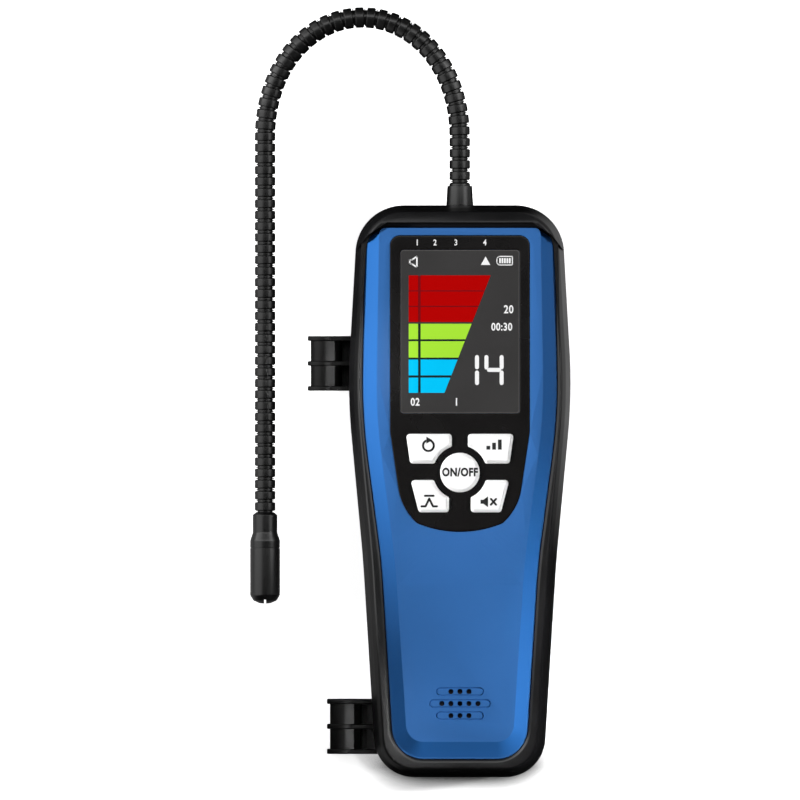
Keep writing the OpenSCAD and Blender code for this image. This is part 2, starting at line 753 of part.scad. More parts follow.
// Places a piece that starts on the contact plate at the spring end of cell i
module at_spring_end(i) {
    translate([cell_x(i), bay_y, cell_z]) rotate([0, 0, cell_way(i) > 0 ? 0 : 180])
        translate([0, -bay_l / 2 + contact_t, 0]) children();
}
module battery(i) {
    shoulder = cell_l - cell_button_l;
    color("#4a4d50") at_spring_end(i) translate([0, spring_l + contact_gap, 0])
        turned([[0, 0], [cell_d / 2, 0], [cell_d / 2, shoulder], [cell_button_d / 2, shoulder],
            [cell_button_d / 2, cell_l], [0, cell_l]]);
}
module battery_1() { battery(1); }
module battery_2() { battery(2); }
module battery_3() { battery(3); }
function coil(turns, rise) = let (steps = turns * coil_steps)
    [for (j = [0:steps]) let (a = 360 * j / coil_steps, r = coil_r + (coil_tip_r - coil_r) * j / steps)
        [for (b = [0:coil_sides - 1]) let (t = 360 * b / coil_sides, w = r + wire_r * cos(t))
            [w * cos(a), w * sin(a), rise * j / steps + wire_r * sin(t)]]];
module contact_springs() {
    color("#b9bcc0") for (i = [1:cells]) at_spring_end(i)
        translate([0, wire_r + wire_gap, 0]) rotate([-90, 0, 0])
            loft(coil(coil_turns, spring_l - 2 * (wire_r + wire_gap)));
}
module contact_plates() {
    color("#a9adb2") for (y = [bay_y0, bay_y1 - contact_t])
        centred(bay_w - 2 * slide_gap, y, y + contact_t, cell_z - contact_h / 2, cell_z + contact_h / 2);
}
module battery_door() {
    color("#1d1d1d") difference() {
        intersection() {
            casing_loft(rear_rings);
            union() {
                centred(door_w, -far, door_y1, door_recess, door_top_z);
                centred(door_w + 2 * tongue_w, -far, door_y1, tongue_z, tongue_z + tongue_t);
            }
        }
        for (i = [0:grips - 1]) let (y = grip_y - i * grip_pitch)
            centred(grip_l, y - grip_w, y, 0, door_recess + grip_depth);
    }
}

module case_screws() {
    color("#8d9094") for (p = screw_spots) {
        post(p.x, p.y, screw_head_r, screw_seat - screw_head_h, screw_seat);
        post(p.x, p.y, screw_r, screw_seat - eps, split_z + screw_depth);
    }
}
module board_screws() {
    color("#8d9094") for (p = board_screw_spots) {
        post(p.x, p.y, board_head_r, board_z0 - board_head_h, board_z0);
        post(p.x, p.y, board_screw_r, board_z0 - eps, deck_under + pilot_depth - screw_fit);
    }
}

module neck_ferrule() {
    r = ferrule_d / 2;
    flange_y = wall_y - ferrule_fit;
    bore = spigot_r + spigot_fit;
    color("#1c1c1c") translate([0, 0, split_z]) turned([
        [0, flange_y - ferrule_flange_t], [ferrule_flange_r, flange_y - ferrule_flange_t],
        [ferrule_flange_r, flange_y], [r, flange_y], [r, body_top],
        [ferrule_top_d / 2, body_top + ferrule_cone_h], [ring_r, body_top + ferrule_cone_h],
        [ring_r, ferrule_end], [bore, ferrule_end], [bore, neck_y - ferrule_bore_l], [0, neck_y - ferrule_bore_l]]);
}

module ring(i) {
    p = neck_point(i);
    translate([p.x, p.y, split_z]) rotate([0, 0, neck_angle(i)]) turned(ring_profile);
}
module ball(i, r) {
    p = neck_point(i);
    a = (neck_angle(i - 1) + neck_angle(i)) / 2;
    translate([p.x, p.y, split_z]) rotate([-90, 0, a]) sphere(r = r);
}
module neck_stretch(first, count, socket, tip) {
    color("#202020") difference() {
        union() {
            for (i = [first:first + count - 1]) ring(i);
            for (i = [first + 1:first + count - (tip ? 0 : 1)]) ball(i, ball_d / 2);
        }
        if (socket) ball(first, ball_d / 2 + ball_gap);
    }
}
module spigot(y) {
    length = spigot_l + groove_w;
    translate([0, y, split_z]) turned([[0, 0], [spigot_r, 0], [spigot_r, length], [0, length]]);
}
module neck_base() {
    neck_stretch(0, base_rings, false, true);
    color("#202020") spigot(neck_y - spigot_l);
}
module neck_link(k) {
    last = k == links;
    neck_stretch(link_first(k), link_rings(k), true, !last);
    if (last) color("#202020") translate([head.x, 0, 0]) spigot(head.y - spigot_l);
}

// Places a piece whose +Y runs down the sensor head from the neck's end
module on_head() {
    translate([head.x, head.y, split_z]) rotate([0, 0, 180]) children();
}
module sensor_housing() {
    r = collar_d / 2;
    bore = spigot_r + spigot_fit;
    color("#1a1a1a") on_head() turned([[bore, 0], [r - collar_lip, 0], [r + collar_lip, collar_lip_l / 2],
        [r, collar_lip_l], [r, collar_l], [barrel_d / 2, collar_l + flare_l], [barrel_d / 2, cap_start],
        [plug_r, cap_start],
        [plug_r, seal_at], [plug_r - seal_groove, seal_at], [plug_r - seal_groove, seal_at + seal_groove_w],
        [plug_r, seal_at + seal_groove_w], [plug_r, cap_start + plug_l], [0, cap_start + plug_l],
        [0, spigot_l + spigot_fit], [bore, spigot_l + spigot_fit]]);
}
module sensor_seal() {
    color("#0e0e0e") on_head() translate([0, seal_at + seal_groove_w / 2, 0]) rotate([-90, 0, 0])
        rotate_extrude() translate([plug_r - seal_groove + seal_r + spigot_fit, 0]) circle(r = seal_r);
}
module sensor_element() {
    color("#c8c4b4") on_head() turned([[0, cap_start + plug_l], [element_r, cap_start + plug_l],
        [element_r, cap_start + plug_l + element_l], [0, cap_start + plug_l + element_l]]);
}
module sensor_filter() {
    y = cap_end - tip_wall - filter_gap - filter_t;
    r = plug_r + cap_fit - filter_gap;
    color("#e4e0d6") on_head() turned([[0, y], [r, y], [r, y + filter_t], [0, y + filter_t]]);
}
module sensor_cap() {
    r = barrel_d / 2;
    color("#1b1b1b") on_head() difference() {
        turned(concat([[plug_r + cap_fit, cap_start + cap_fit], [r, cap_start + cap_fit]],
            [for (i = [0:dome_steps]) let (a = 90 * i / dome_steps)
                [tip_r + (r - tip_r) * cos(a), cap_end - dome_h + dome_h * sin(a)]],
            [[0, cap_end], [0, cap_end - tip_wall], [plug_r + cap_fit, cap_end - tip_wall]]));
        block(-slot_w / 2, slot_w / 2, cap_end - slot_depth, far, -far, far);
    }
}

// C-shaped spring clip with three ribs, a lip at each end of a rib and webs to the casing
module clip(x, y) {
    h = clip_l / 2;
    w = clip_rib_w / 2;
    wall_r = clip_r + clip_wall;
    lip_r = (clip_wall + clip_rib) / 2;
    lip_at = clip_r + lip_r + 2 * lip_over;
    rib_ys = [-h + w, 0, h - w];
    profile = concat([[clip_r, -h]],
        [for (rib_y = rib_ys) each [[wall_r, rib_y - w], [clip_outer, rib_y - w], [clip_outer, rib_y + w],
            [wall_r, rib_y + w]]],
        [[clip_r, h]]);
    color("#1e1e1e") translate([-x, y, clip_z]) {
        rotate([90, 0, 0]) rotate([0, 0, 180 + clip_mouth])
            rotate_extrude(angle = 360 - 2 * clip_mouth) polygon(profile);
        for (s = [-1, 1]) for (rib_y = rib_ys)
            rotate([0, s * clip_mouth, 0]) translate([-lip_at, rib_y, 0]) rotate([90, 0, 0])
                cylinder(r = lip_r + lip_over, h = clip_rib_w, center = true);
        block(clip_r + stem_root, x - half_w(y) + tenon_l, -stem_l / 2, stem_l / 2, -stem_h / 2, stem_h / 2);
        for (rib_y = rib_ys) block(clip_r + stem_root, x - half_w(y + rib_y) - web_gap,
            rib_y - w, rib_y + w, -web_h / 2, web_h / 2);
    }
}
module upper_clip() { clip(upper_clip_x, upper_clip_y); }
module lower_clip() { clip(lower_clip_x, lower_clip_y); }

front_shell();
rear_shell();
top_cap();
front_panel();
display_bezel();
display_window();
lcd_module();
power_button();
reset_button();
level_button();
peak_button();
mute_button();
key_switches();
main_board();
buzzer();
battery_1();
battery_2();
battery_3();
contact_springs();
contact_plates();
battery_door();
case_screws();
board_screws();
neck_ferrule();
neck_base();
sensor_housing();
sensor_seal();
sensor_element();
sensor_filter();
sensor_cap();
upper_clip();
lower_clip();
for (k = [1:links]) neck_link(k);
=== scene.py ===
import math
import bmesh
import bpy
from mathutils import Matrix, Vector


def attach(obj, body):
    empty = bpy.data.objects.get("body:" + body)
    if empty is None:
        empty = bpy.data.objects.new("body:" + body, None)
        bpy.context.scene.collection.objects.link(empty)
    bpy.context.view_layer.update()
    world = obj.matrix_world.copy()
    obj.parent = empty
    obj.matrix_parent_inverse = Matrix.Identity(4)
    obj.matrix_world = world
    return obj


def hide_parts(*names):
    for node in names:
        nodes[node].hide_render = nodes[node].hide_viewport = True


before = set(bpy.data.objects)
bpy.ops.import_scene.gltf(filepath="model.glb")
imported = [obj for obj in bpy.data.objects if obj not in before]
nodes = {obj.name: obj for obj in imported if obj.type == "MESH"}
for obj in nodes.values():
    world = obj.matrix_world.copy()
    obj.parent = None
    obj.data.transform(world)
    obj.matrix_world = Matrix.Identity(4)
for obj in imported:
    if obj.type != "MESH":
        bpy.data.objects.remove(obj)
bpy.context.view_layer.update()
scene = bpy.context.scene
mm = 0.001
weld = 2e-6
sharpAngle = math.radians(40)
# an eased corner takes up at most this share of each side
easeShare = 0.48
print("frame loaded:", len(nodes), "nodes")


def rgb(text):
    parts = [int(text[i:i + 2], 16) / 255 for i in (1, 3, 5)]
    return (*[c / 12.92 if c <= 0.04045 else ((c + 0.055) / 1.055) ** 2.4 for c in parts], 1)


def addNode(tree, kind, settings={}, links={}):
    node = tree.nodes.new(kind)
    for key, value in settings.items():
        if isinstance(key, str) and hasattr(node, key):
            setattr(node, key, value)
        else:
            node.inputs[key].default_value = value
    for key, source in links.items():
        tree.links.new(source, node.inputs[key])
    return node


# One builder for every solid finish: a colour that drifts, a roughness that varies, a fine grain
def finish(name, look):
    made = bpy.data.materials.new(name)
    made.use_nodes = True
    tree = made.node_tree
    shader = tree.nodes["Principled BSDF"]
    for key in ("Metallic", "Specular IOR Level", "Emission Strength"):
        if key in look:
            shader.inputs[key].default_value = look[key]
    if "glow" in look:
        shader.inputs["Emission Color"].default_value = rgb(look["glow"])
    place = addNode(tree, "ShaderNodeTexCoord").outputs["Object"]
    drift = addNode(tree, "ShaderNodeTexNoise", {"Scale": 1 / (look["drift"] * mm), "Detail": 3.0},
                    {"Vector": place}).outputs["Fac"]
    grain = addNode(tree, "ShaderNodeTexNoise", {"Scale": 1 / (look["grain"] * mm), "Detail": 2.0},
                    {"Vector": place}).outputs["Fac"]
    tones = {"data_type": "RGBA", 6: rgb(look["colour"]), 7: rgb(look["other"])}
    tone = addNode(tree, "ShaderNodeMix", tones, {0: drift}).outputs[2]
    spread = {"From Min": 0.3, "From Max": 0.7, "To Min": look["rough"][0], "To Max": look["rough"][1]}
    rough = addNode(tree, "ShaderNodeMapRange", spread, {"Value": drift}).outputs[0]
    bump = addNode(tree, "ShaderNodeBump", {"Strength": look["bump"], "Distance": look["grain"] * mm * 0.25},
                   {"Height": grain}).outputs[0]
    tree.links.new(tone, shader.inputs["Base Color"])
    tree.links.new(rough, shader.inputs["Roughness"])
    tree.links.new(bump, shader.inputs["Normal"])
    return made


# Grain and drift are the real sizes in mm of the fine texture and of the slow change in tone
finishes = {
    # spark-eroded black ABS: a dull, slightly uneven sheen
    "mouldedAbsBlack": {"colour": "#0E0E0F", "other": "#141415", "rough": (0.28, 0.36),
                        "Specular IOR Level": 0.6, "grain": 0.35, "drift": 14, "bump": 0.08},
    # over-moulded bumper: softer and a little greyer than the shells
    "bumperRubber": {"colour": "#101011", "other": "#151516", "rough": (0.28, 0.36),
                     "Specular IOR Level": 0.3, "grain": 0.30, "drift": 10, "bump": 0.08},
    # blue ABS: even colour, satin light on the bevels
    "mouldedAbsBlue": {"colour": "#3264A3", "other": "#3669A9", "rough": (0.34, 0.42),
                       "Specular IOR Level": 0.12, "grain": 0.30, "drift": 20, "bump": 0.06},
    # printed acrylic: black, cleaner reflection than the casing
    "printedAcrylic": {"colour": "#100F0F", "other": "#131212", "rough": (0.22, 0.30),
                       "Specular IOR Level": 0.3, "grain": 0.6, "drift": 18, "bump": 0.02},
    # display film: flat dark grey and smooth
    "displayFilm": {"colour": "#302F2F", "other": "#323131", "rough": (0.28, 0.34),
                    "grain": 0.6, "drift": 25, "bump": 0.02},
    # white key caps: bright, with a trace of glow
    "keyResin": {"colour": "#FBFBFB", "other": "#F6F6F5", "rough": (0.34, 0.42), "glow": "#FFFFFF",
                 "Emission Strength": 0.04, "grain": 0.25, "drift": 6, "bump": 0.05},
    # printed legends: matt black ink
    "legendInk": {"colour": "#080808", "other": "#0C0C0C", "rough": (0.5, 0.6),
                  "grain": 0.2, "drift": 3, "bump": 0.05},
    # dipped coat on the neck: satin black, a little uneven
    "neckCoat": {"colour": "#0B0B0B", "other": "#111111", "rough": (0.28, 0.36),
                 "grain": 0.25, "drift": 5, "bump": 0.12},
    # sensor head: fine-grained black ABS
    "headAbs": {"colour": "#0B0B0B", "other": "#101010", "rough": (0.28, 0.34),
                "grain": 0.25, "drift": 8, "bump": 0.08},
    # clip nylon: deep black with a soft gloss
    "clipNylon": {"colour": "#0B0B0B", "other": "#101010", "rough": (0.30, 0.38), "Specular IOR Level": 0.18,
                  "grain": 0.3, "drift": 7, "bump": 0.06},
    # blackened steel screws: dark metal with a fine grain
    "blackSteel": {"colour": "#3A3A3C", "other": "#4A4A4C", "rough": (0.30, 0.45), "Metallic": 1.0,
                   "grain": 0.2, "drift": 2, "bump": 0.15},
    # nickel-plated spring steel of the contacts: bright and slightly yellow
    "nickelSteel": {"colour": "#B9B7B2", "other": "#A9A7A2", "rough": (0.22, 0.34), "Metallic": 1.0,
                    "grain": 0.3, "drift": 3, "bump": 0.1},
    # glass-fibre board with green mask: a satin coat with a faint grain
    "boardMask": {"colour": "#14523A", "other": "#17593F", "rough": (0.32, 0.42),
                  "grain": 0.5, "drift": 6, "bump": 0.1},
    # plain cell sleeve: smooth grey film
    "cellSleeve": {"colour": "#3C4046", "other": "#464A50", "rough": (0.25, 0.35),
                   "grain": 0.6, "drift": 9, "bump": 0.04},
    # sintered filter and ceramic sensor body: chalky and rough
    "sinteredDisc": {"colour": "#CFCBBF", "other": "#BDB9AC", "rough": (0.6, 0.75),
                     "grain": 0.3, "drift": 2, "bump": 0.4},
    # seal rubber: dead black
    "sealRubber": {"colour": "#0C0C0C", "other": "#121212", "rough": (0.5, 0.6),
                   "grain": 0.2, "drift": 2, "bump": 0.1},
}
# Display marks: flat, even colours, with almost no sheen on the coloured ones
segment = {"rough": (0.4, 0.45), "grain": 0.5, "drift": 9, "bump": 0.02}
segmentTones = {"segmentRed": ("#AA0000", "#AE0000"), "segmentDim": ("#700B12", "#760C13"),
                "segmentOff": ("#14201F", "#172423"), "segmentGreen": ("#A0DC35", "#A4E038"),
                "segmentCyan": ("#00BCEE", "#00C0F2")}
for name, (colour, other) in segmentTones.items():
    finishes[name] = {"colour": colour, "other": other, "Specular IOR Level": 0.1, **segment}
finishes["segmentWhite"] = {"colour": "#F0F0F0", "other": "#F4F4F4", **segment}
# light grey line round the window: a painted highlight
finishes["windowEdgeGlint"] = {"colour": "#4A4949", "other": "#504F4F", **segment}
mats = {name: finish(name, look) for name, look in finishes.items()}

# Painted shade: the panel's bevels get a deeper blue than its textured face, blended in by how far they tilt
bevelShade = {"colour": "#2861A4", "from": 0.86, "full": 0.96}
blueTree = mats["mouldedAbsBlue"].node_tree
blueBase = blueTree.nodes["Principled BSDF"].inputs["Base Color"]
blueFace = blueBase.links[0].from_socket
facing = addNode(blueTree, "ShaderNodeTexCoord").outputs["Normal"]
upright = addNode(blueTree, "ShaderNodeSeparateXYZ", {}, {0: facing}).outputs[2]
plateau = addNode(blueTree, "ShaderNodeMapRange", {"From Min": bevelShade["from"], "From Max": bevelShade["full"]},
                  {"Value": upright}).outputs[0]
bevelled = addNode(blueTree, "ShaderNodeMix", {"data_type": "RGBA", 6: rgb(bevelShade["colour"])},
                   {0: plateau, 7: blueFace}).outputs[2]
blueTree.links.new(bevelled, blueBase)
print("finishes made:", len(mats))


# Outlines: closed loops of circles (x, y, radius, steps) joined by tangents.
# A negative radius is a hollow curve
def outline(circles, inset=0.0):
    def meet(a, b):
        return math.atan2(b[1] - a[1], b[0] - a[0]) + math.acos(
            max(-1, min(1, (a[2] - b[2]) / math.hypot(b[0] - a[0], b[1] - a[1]))))
    points = []
    full = 2 * math.pi
    for i, (x, y, r, steps) in enumerate(circles):
        start, stop = meet(circles[i - 1], circles[i]), meet(circles[i], circles[(i + 1) % len(circles)])
        turn = -((start - stop + 1e-4) % full - 1e-4) if r > 0 else (stop - start + 1e-4) % full - 1e-4
        for j in range(steps + 1):
            a = start + turn * j / steps
            points.append((x + (r - inset) * math.cos(a), y + (r - inset) * math.sin(a)))
    return points


def mirrored(side):
    return [(-x, y, r, n) for x, y, r, n in reversed(side)]


def hollow(half, y, r, lean, steps):
    a = math.radians(lean)
    return (half + r * math.cos(a), y - r * math.sin(a), -r, steps)


# A path of corners (inset, height, rounding) with each corner eased
def eased(corners, steps=5):
    path = []
    for i, (k, z, r) in enumerate(corners):
        here = Vector((k, z))
        if r == 0 or i in (0, len(corners) - 1):
            path.append((k, z))
            continue
        a, b = Vector(corners[i - 1][:2]) - here, Vector(corners[i + 1][:2]) - here
        cut = min(r / math.tan(a.angle(b) / 2), a.length * easeShare, b.length * easeShare)
        start, end = here + a.normalized() * cut, here + b.normalized() * cut
        for j in range(steps + 1):
            t = j / steps
            path.append(tuple(start * (1 - t) ** 2 + here * 2 * t * (1 - t) + end * t * t))
    return path


def skin(bm, rings):
    loops = [[bm.verts.new(Vector(p) * mm) for p in ring] for ring in rings]
    for a, b in zip(loops, loops[1:]):
        for i in range(len(a)):
            j = (i + 1) % len(a)
            bm.faces.new((a[i], a[j], b[j], b[i])).smooth = True
    return loops[0], loops[-1]


# Flat face inside one loop, or between a loop and the loops within it
def fill(bm, *loops):
    edges = []
    for loop in loops:
        spots = [v.co.copy() for i, v in enumerate(loop) if (v.co - loop[i - 1].co).length > weld]
        fresh = [bm.verts.new(p) for p in spots]
        edges += [bm.edges.new((a, b)) for a, b in zip(fresh, fresh[1:] + fresh[:1])]
    bmesh.ops.triangle_fill(bm, edges=edges, use_beauty=True)


def link(name, data):
    made = bpy.data.objects.new(name, data)
    scene.collection.objects.link(made)
    return made


def build(name, bm, finishName):
    bmesh.ops.remove_doubles(bm, verts=bm.verts, dist=weld)
    bmesh.ops.recalc_face_normals(bm, faces=bm.faces)
    mesh = bpy.data.meshes.new(name)
    bm.to_mesh(mesh)
    bm.free()
    mesh.set_sharp_from_angle(angle=sharpAngle)
    mesh.materials.append(mats[finishName])
    return link(name, mesh)


# Bakes an object's modifiers into a plain mesh
def bake(made):
    mesh = bpy.data.meshes.new_from_object(made.evaluated_get(bpy.context.evaluated_depsgraph_get()))
    made.modifiers.clear()
    made.data = mesh
    return made


# Runs a node group on an object with its named inputs set, and bakes the result
def grow(made, group, inputs):
    drive = made.modifiers.new(group.name, "NODES")
    drive.node_group = group
    for item in group.interface.items_tree:
        if item.name in inputs:
            drive[item.identifier] = inputs[item.name]
    return bake(made)


def carve(made, bm, how="DIFFERENCE"):
    cutter = build("cutter", bm, "sealRubber")
    cut = made.modifiers.new("carve", "BOOLEAN")
    cut.operation, cut.object, cut.solver = how, cutter, "EXACT"
    bake(made)
    bpy.data.objects.remove(cutter)
    made.data.set_sharp_from_angle(angle=sharpAngle)
    return made


def settle(made, body, slotName, *stands):
    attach(made, body)
    if stands:
        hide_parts(*stands)
    return made


def solid(bm, rings):
    start, end = skin(bm, rings)
    fill(bm, start)
    fill(bm, end)


def raised(loop, path):
    return [[(x, y, z) for x, y in outline(loop, k)] for k, z in path]


def flat(loop, z, inset=0.0):
    return [(x, y, z) for x, y in outline(loop, inset)]


# Casing: its right half has a shoulder, a bulging side, a hollow waist and a foot corner
casing = {"shoulder": (19.5, 83, 17), "bulgeX": 38.75, "bulgeY": 38, "bulgeR": 200, "waistX": 33.8,
          "waistY": -25, "waistR": 400, "waistLean": 4.26, "corner": (16, -86, 14)}
caseSide = [(*casing["shoulder"], 28),
            (casing["bulgeX"] - casing["bulgeR"], casing["bulgeY"], casing["bulgeR"], 24),
            hollow(casing["waistX"], casing["waistY"], casing["waistR"], casing["waistLean"], 16),
            (*casing["corner"], 28)]
caseLoop = caseSide + mirrored(caseSide)
panel = {"top": 91.9, "topX": 33.1, "topR": 2, "cutX": 5, "cutY": 3.2, "bulgeX": 33.9, "waistX": 27.4,
         "waistY": -26, "waistR": 250, "waistLean": 5.287, "footX": 23.7, "footY": -93.4, "footR": 11,
         "footRise": 1.2, "bevel": 4.8}


# The panel's outline at a share t of the way up its bevel
def panelLoop(t):
    inset, r, bulge, foot = panel["bevel"] * t, panel["topR"], casing["bulgeR"], panel["footR"]
    side = [(panel["topX"] - panel["cutX"] - r, panel["top"] - r, r, 8),
            (panel["topX"] - r - inset, panel["top"] - panel["cutY"] * (1 - t / 2) - r, r, 8),
            (panel["bulgeX"] - bulge, casing["bulgeY"], bulge - inset, 24),
            hollow(panel["waistX"] - inset, panel["waistY"], panel["waistR"], panel["waistLean"], 16),
            (panel["footX"] - foot, panel["footY"] + foot + panel["footRise"] * t, foot - inset, 24)]
    return side + mirrored(side)


# Front shell: a rounded flank from the seam to the rim, and a chamfered lip round the panel
flank = eased([(0.30, 18.06, 0), (0.0, 18.36, 0.2), (0.05, 22.0, 8), (1.7, 29.6, 5), (3.0, 32.6, 1.0),
               (3.6, 33.0, 0.6), (3.7, 33.0, 0)])
lipPath = [(1.25, 33.0), (1.1, 32.98), (0.30, 32.72), (0.19, 32.62), (0.15, 32.4), (0.15, 30.0)]
innerPath = [(2.2, 18.06), (3.4, 28.0)]
bm = bmesh.new()
outerFoot, outerTop = skin(bm, raised(caseLoop, flank))
lipTop, lipFoot = skin(bm, [flat(panelLoop(0), z, -k) for k, z in lipPath])
fill(bm, outerTop, lipTop)
fill(bm, lipFoot)
innerFoot, innerTop = skin(bm, raised(caseLoop, innerPath))
fill(bm, outerFoot, innerFoot)
fill(bm, innerTop)
settle(build("frontShell", bm, "mouldedAbsBlack"), "casing", "black_abs", "front_shell")

# Bumper cap: the casing's own outline, cut to a tilted brow over the panel
brow = {"edge": [(25.5, 93.9), (32, 89.6), (60, 54), (60, 120)], "height": 37.45, "tilt": 0.2, "base": -5}
browLoop = brow["edge"] + [(-x, y) for x, y in reversed(brow["edge"])]
browY = brow["edge"][0][1]
capPath = eased([(6.5, 0, 0), (2.6, 1.2, 4), (0.5, 4.5, 5), (0, 9, 6), (0, 22, 8), (1.0, 30.6, 6),
                 (2.4, 36.4, 2.5), (3.4, 37.5, 1.0), (4.4, 37.5, 0)])
bm = bmesh.new()
solid(bm, raised(caseLoop, capPath))
topCap = build("topCap", bm, "bumperRubber")
bm = bmesh.new()
solid(bm, [[(x, y, brow["base"]) for x, y in browLoop],
           [(x, y, brow["height"] - brow["tilt"] * (y - browY)) for x, y in browLoop]])
settle(carve(topCap, bm, "INTERSECT"), "casing", "bumper_rubber", "top_cap")
print("casing made")

# Front panel: a narrow flange, the bevel, a soft plateau edge, a flat face and a seat for the bezel
bezelSide = [(20.8, 85.8, 3.5, 12), (14.3, 21.5, 10, 10), (1.6, 3.9, 20, 24), (13.25, -8.5, 3, 8)]
bezelFoot = (0, 23.9, 38, 16)
bezelLoop = bezelSide + [bezelFoot] + mirrored(bezelSide)
faceZ = 36.0
panelSteps = [(0.0, 30.0), (0.0, 32.2), (0.006, 32.4), (0.02, 32.5), (0.085, 32.52), (0.105, 32.58),
              (0.90, 35.52), (0.945, 35.72), (0.98, 35.88), (1.01, 35.97), (1.04, faceZ)]
seatPath = [(-0.3, faceZ), (-0.15, 35.95), (-0.1, 35.8), (-0.1, 35.0)]
bm = bmesh.new()
panelFoot, panelTop = skin(bm, [flat(panelLoop(t), z) for t, z in panelSteps])
seatTop, seatFoot = skin(bm, raised(bezelLoop, seatPath))
fill(bm, panelFoot)
fill(bm, panelTop, seatTop)
fill(bm, seatFoot)
frontPanel = build("frontPanel", bm, "mouldedAbsBlue")


# A geometry node group with named sockets
def nodeGroup(name, sockets):
    group = bpy.data.node_groups.new(name, "GeometryNodeTree")
    for label, way, kind in sockets:
        group.interface.new_socket(label, in_out=way, socket_type="NodeSocket" + kind)
    return group, addNode(group, "NodeGroupInput").outputs


# Sound holes: a fine groove round each row, then the holes
grille = {"y": -74, "pitch": 4.2, "width": 2.9, "line": 0.34, "depth": 0.4, "flare": 0.08, "holePitch": 3.15,
          "holeD": 1.8, "boreZ": 33, "bore": 8, "counts": (3, 5, 3), "reach": (8.3, 10.7, 8.3)}
rowY = [grille["y"] + (1 - row) * grille["pitch"] for row in range(3)]
deep, line, flare = faceZ - grille["depth"], grille["line"], grille["flare"]
groove = [(-0.1, 36.2), (-0.05, 35.95), (flare, deep), (line - flare, deep), (line + 0.05, 35.95),
          (line + 0.1, 36.2), (-0.1, 36.2)]
bm = bmesh.new()
for y, reach in zip(rowY, grille["reach"]):
    r = grille["width"] / 2
    skin(bm, raised([(r - reach, y, r, 20), (reach - r, y, r, 20)], groove))
drill, drillIn = nodeGroup("drill", (
    ("Spots", "INPUT", "Geometry"), ("Bore Radius", "INPUT", "Float"), ("Bore Depth", "INPUT", "Float"),
    ("Lining", "INPUT", "Material"), ("Bits", "OUTPUT", "Geometry")))
bit = addNode(drill, "GeometryNodeMeshCylinder", {"Vertices": 32},
              {"Radius": drillIn["Bore Radius"], "Depth": drillIn["Bore Depth"]}).outputs[0]
bits = addNode(drill, "GeometryNodeInstanceOnPoints", {},
               {"Points": drillIn["Spots"], "Instance": bit}).outputs[0]
loose = addNode(drill, "GeometryNodeRealizeInstances", {}, {0: bits}).outputs[0]
lined = addNode(drill, "GeometryNodeSetMaterial", {},
                {"Geometry": loose, "Material": drillIn["Lining"]}).outputs[0]
addNode(drill, "NodeGroupOutput", {}, {"Bits": lined})
spotMesh = bpy.data.meshes.new("holeSpots")
spotMesh.from_pydata([((i - (count - 1) / 2) * grille["holePitch"] * mm, y * mm, grille["boreZ"] * mm)
                      for y, count in zip(rowY, grille["counts"]) for i in range(count)], [], [])
holeSpots = link("holeSpots", spotMesh)
grow(holeSpots, drill, {"Bore Radius": grille["holeD"] / 2 * mm, "Bore Depth": grille["bore"] * mm,
                        "Lining": mats["mouldedAbsBlue"]})
bm.from_mesh(holeSpots.data)
bpy.data.objects.remove(holeSpots)
settle(carve(frontPanel, bm), "casing", "blue_abs", "front_panel")

# Bezel with its window opening, the window, and a fine light grey line round it: a painted highlight on the
# window's edge
bezelZ = 36.15
windowSide = [(19.6, 83.1, 1.2, 6), (19.6, 28.4, 1.2, 6)]
windowLoop = windowSide + mirrored(windowSide)
bezelPath = eased([(0, 35.0, 0), (0, bezelZ, 0.35), (1.0, bezelZ, 0)])
openPath = eased([(-0.8, bezelZ, 0), (-0.25, bezelZ, 0.1), (0, 35.95, 0.1), (0, 35.0, 0)])
bm = bmesh.new()
footLoop, topLoop = skin(bm, raised(bezelLoop, bezelPath))
openTop, openFoot = skin(bm, raised(windowLoop, openPath))
fill(bm, topLoop, openTop)
fill(bm, footLoop, openFoot)
settle(build("displayBezel", bm, "printedAcrylic"), "casing", "bezel_gloss", "display_bezel")
bm = bmesh.new()
solid(bm, raised(windowLoop, [(0.05, 35.0), (0.05, 35.9)]))
settle(build("displayWindow", bm, "displayFilm"), "casing", "window", "display_window")
bm = bmesh.new()
skin(bm, raised(windowLoop, [(0.1, 35.85), (0.1, 35.93), (0.34, 35.93), (0.34, 35.85), (0.1, 35.85)]))
settle(build("windowLine", bm, "windowEdgeGlint"), "casing", "window")
print("panel, bezel and window made")

# Keys: one round key, and four with a hollow side that runs round it
keySpots = {"upper": {"x0": 2.8, "x1": 18.6, "top": 20.1, "foot": 9.7, "slant": 1.1},
            "lower": {"x0": 3.8, "x1": 16.9, "top": 4.0, "foot": -7.3, "slant": 2.3}}
keyY, ringR, keyR, tipR, roundR = 6.6, 9.4, 1.2, 0.8, 6.9


def keyLoop(kind):
    key = keySpots[kind]
    left, right = key["x0"] + keyR, key["x1"] - keyR
    top, foot = key["top"] - keyR, key["foot"] + keyR
    reach, tipX = ringR + tipR, key["x0"] + tipR
    tipY = key["foot"] + tipR if kind == "upper" else key["top"] - tipR
    rise = math.sqrt(reach ** 2 - tipX ** 2)
    ring = (0, keyY, -ringR, 14)
    sideTip = (math.sqrt(reach ** 2 - (tipY - keyY) ** 2), tipY, tipR, 6)
    outer = (right - key["slant"], foot, keyR, 6)
    if kind == "upper":
        return [(left, top, keyR, 6), (right, top, keyR, 6), outer, sideTip, ring,
                (tipX, keyY + rise, tipR, 6)]
    return [sideTip, (right, top, keyR, 6), outer, (left, foot, keyR, 6), (tipX, keyY - rise, tipR, 6), ring]


def circle(x, y, r, z, steps=96):
    turns = [math.tau * i / steps for i in range(steps)]
    return [(x + r * math.cos(a), y - r * math.sin(a), z) for a in turns]


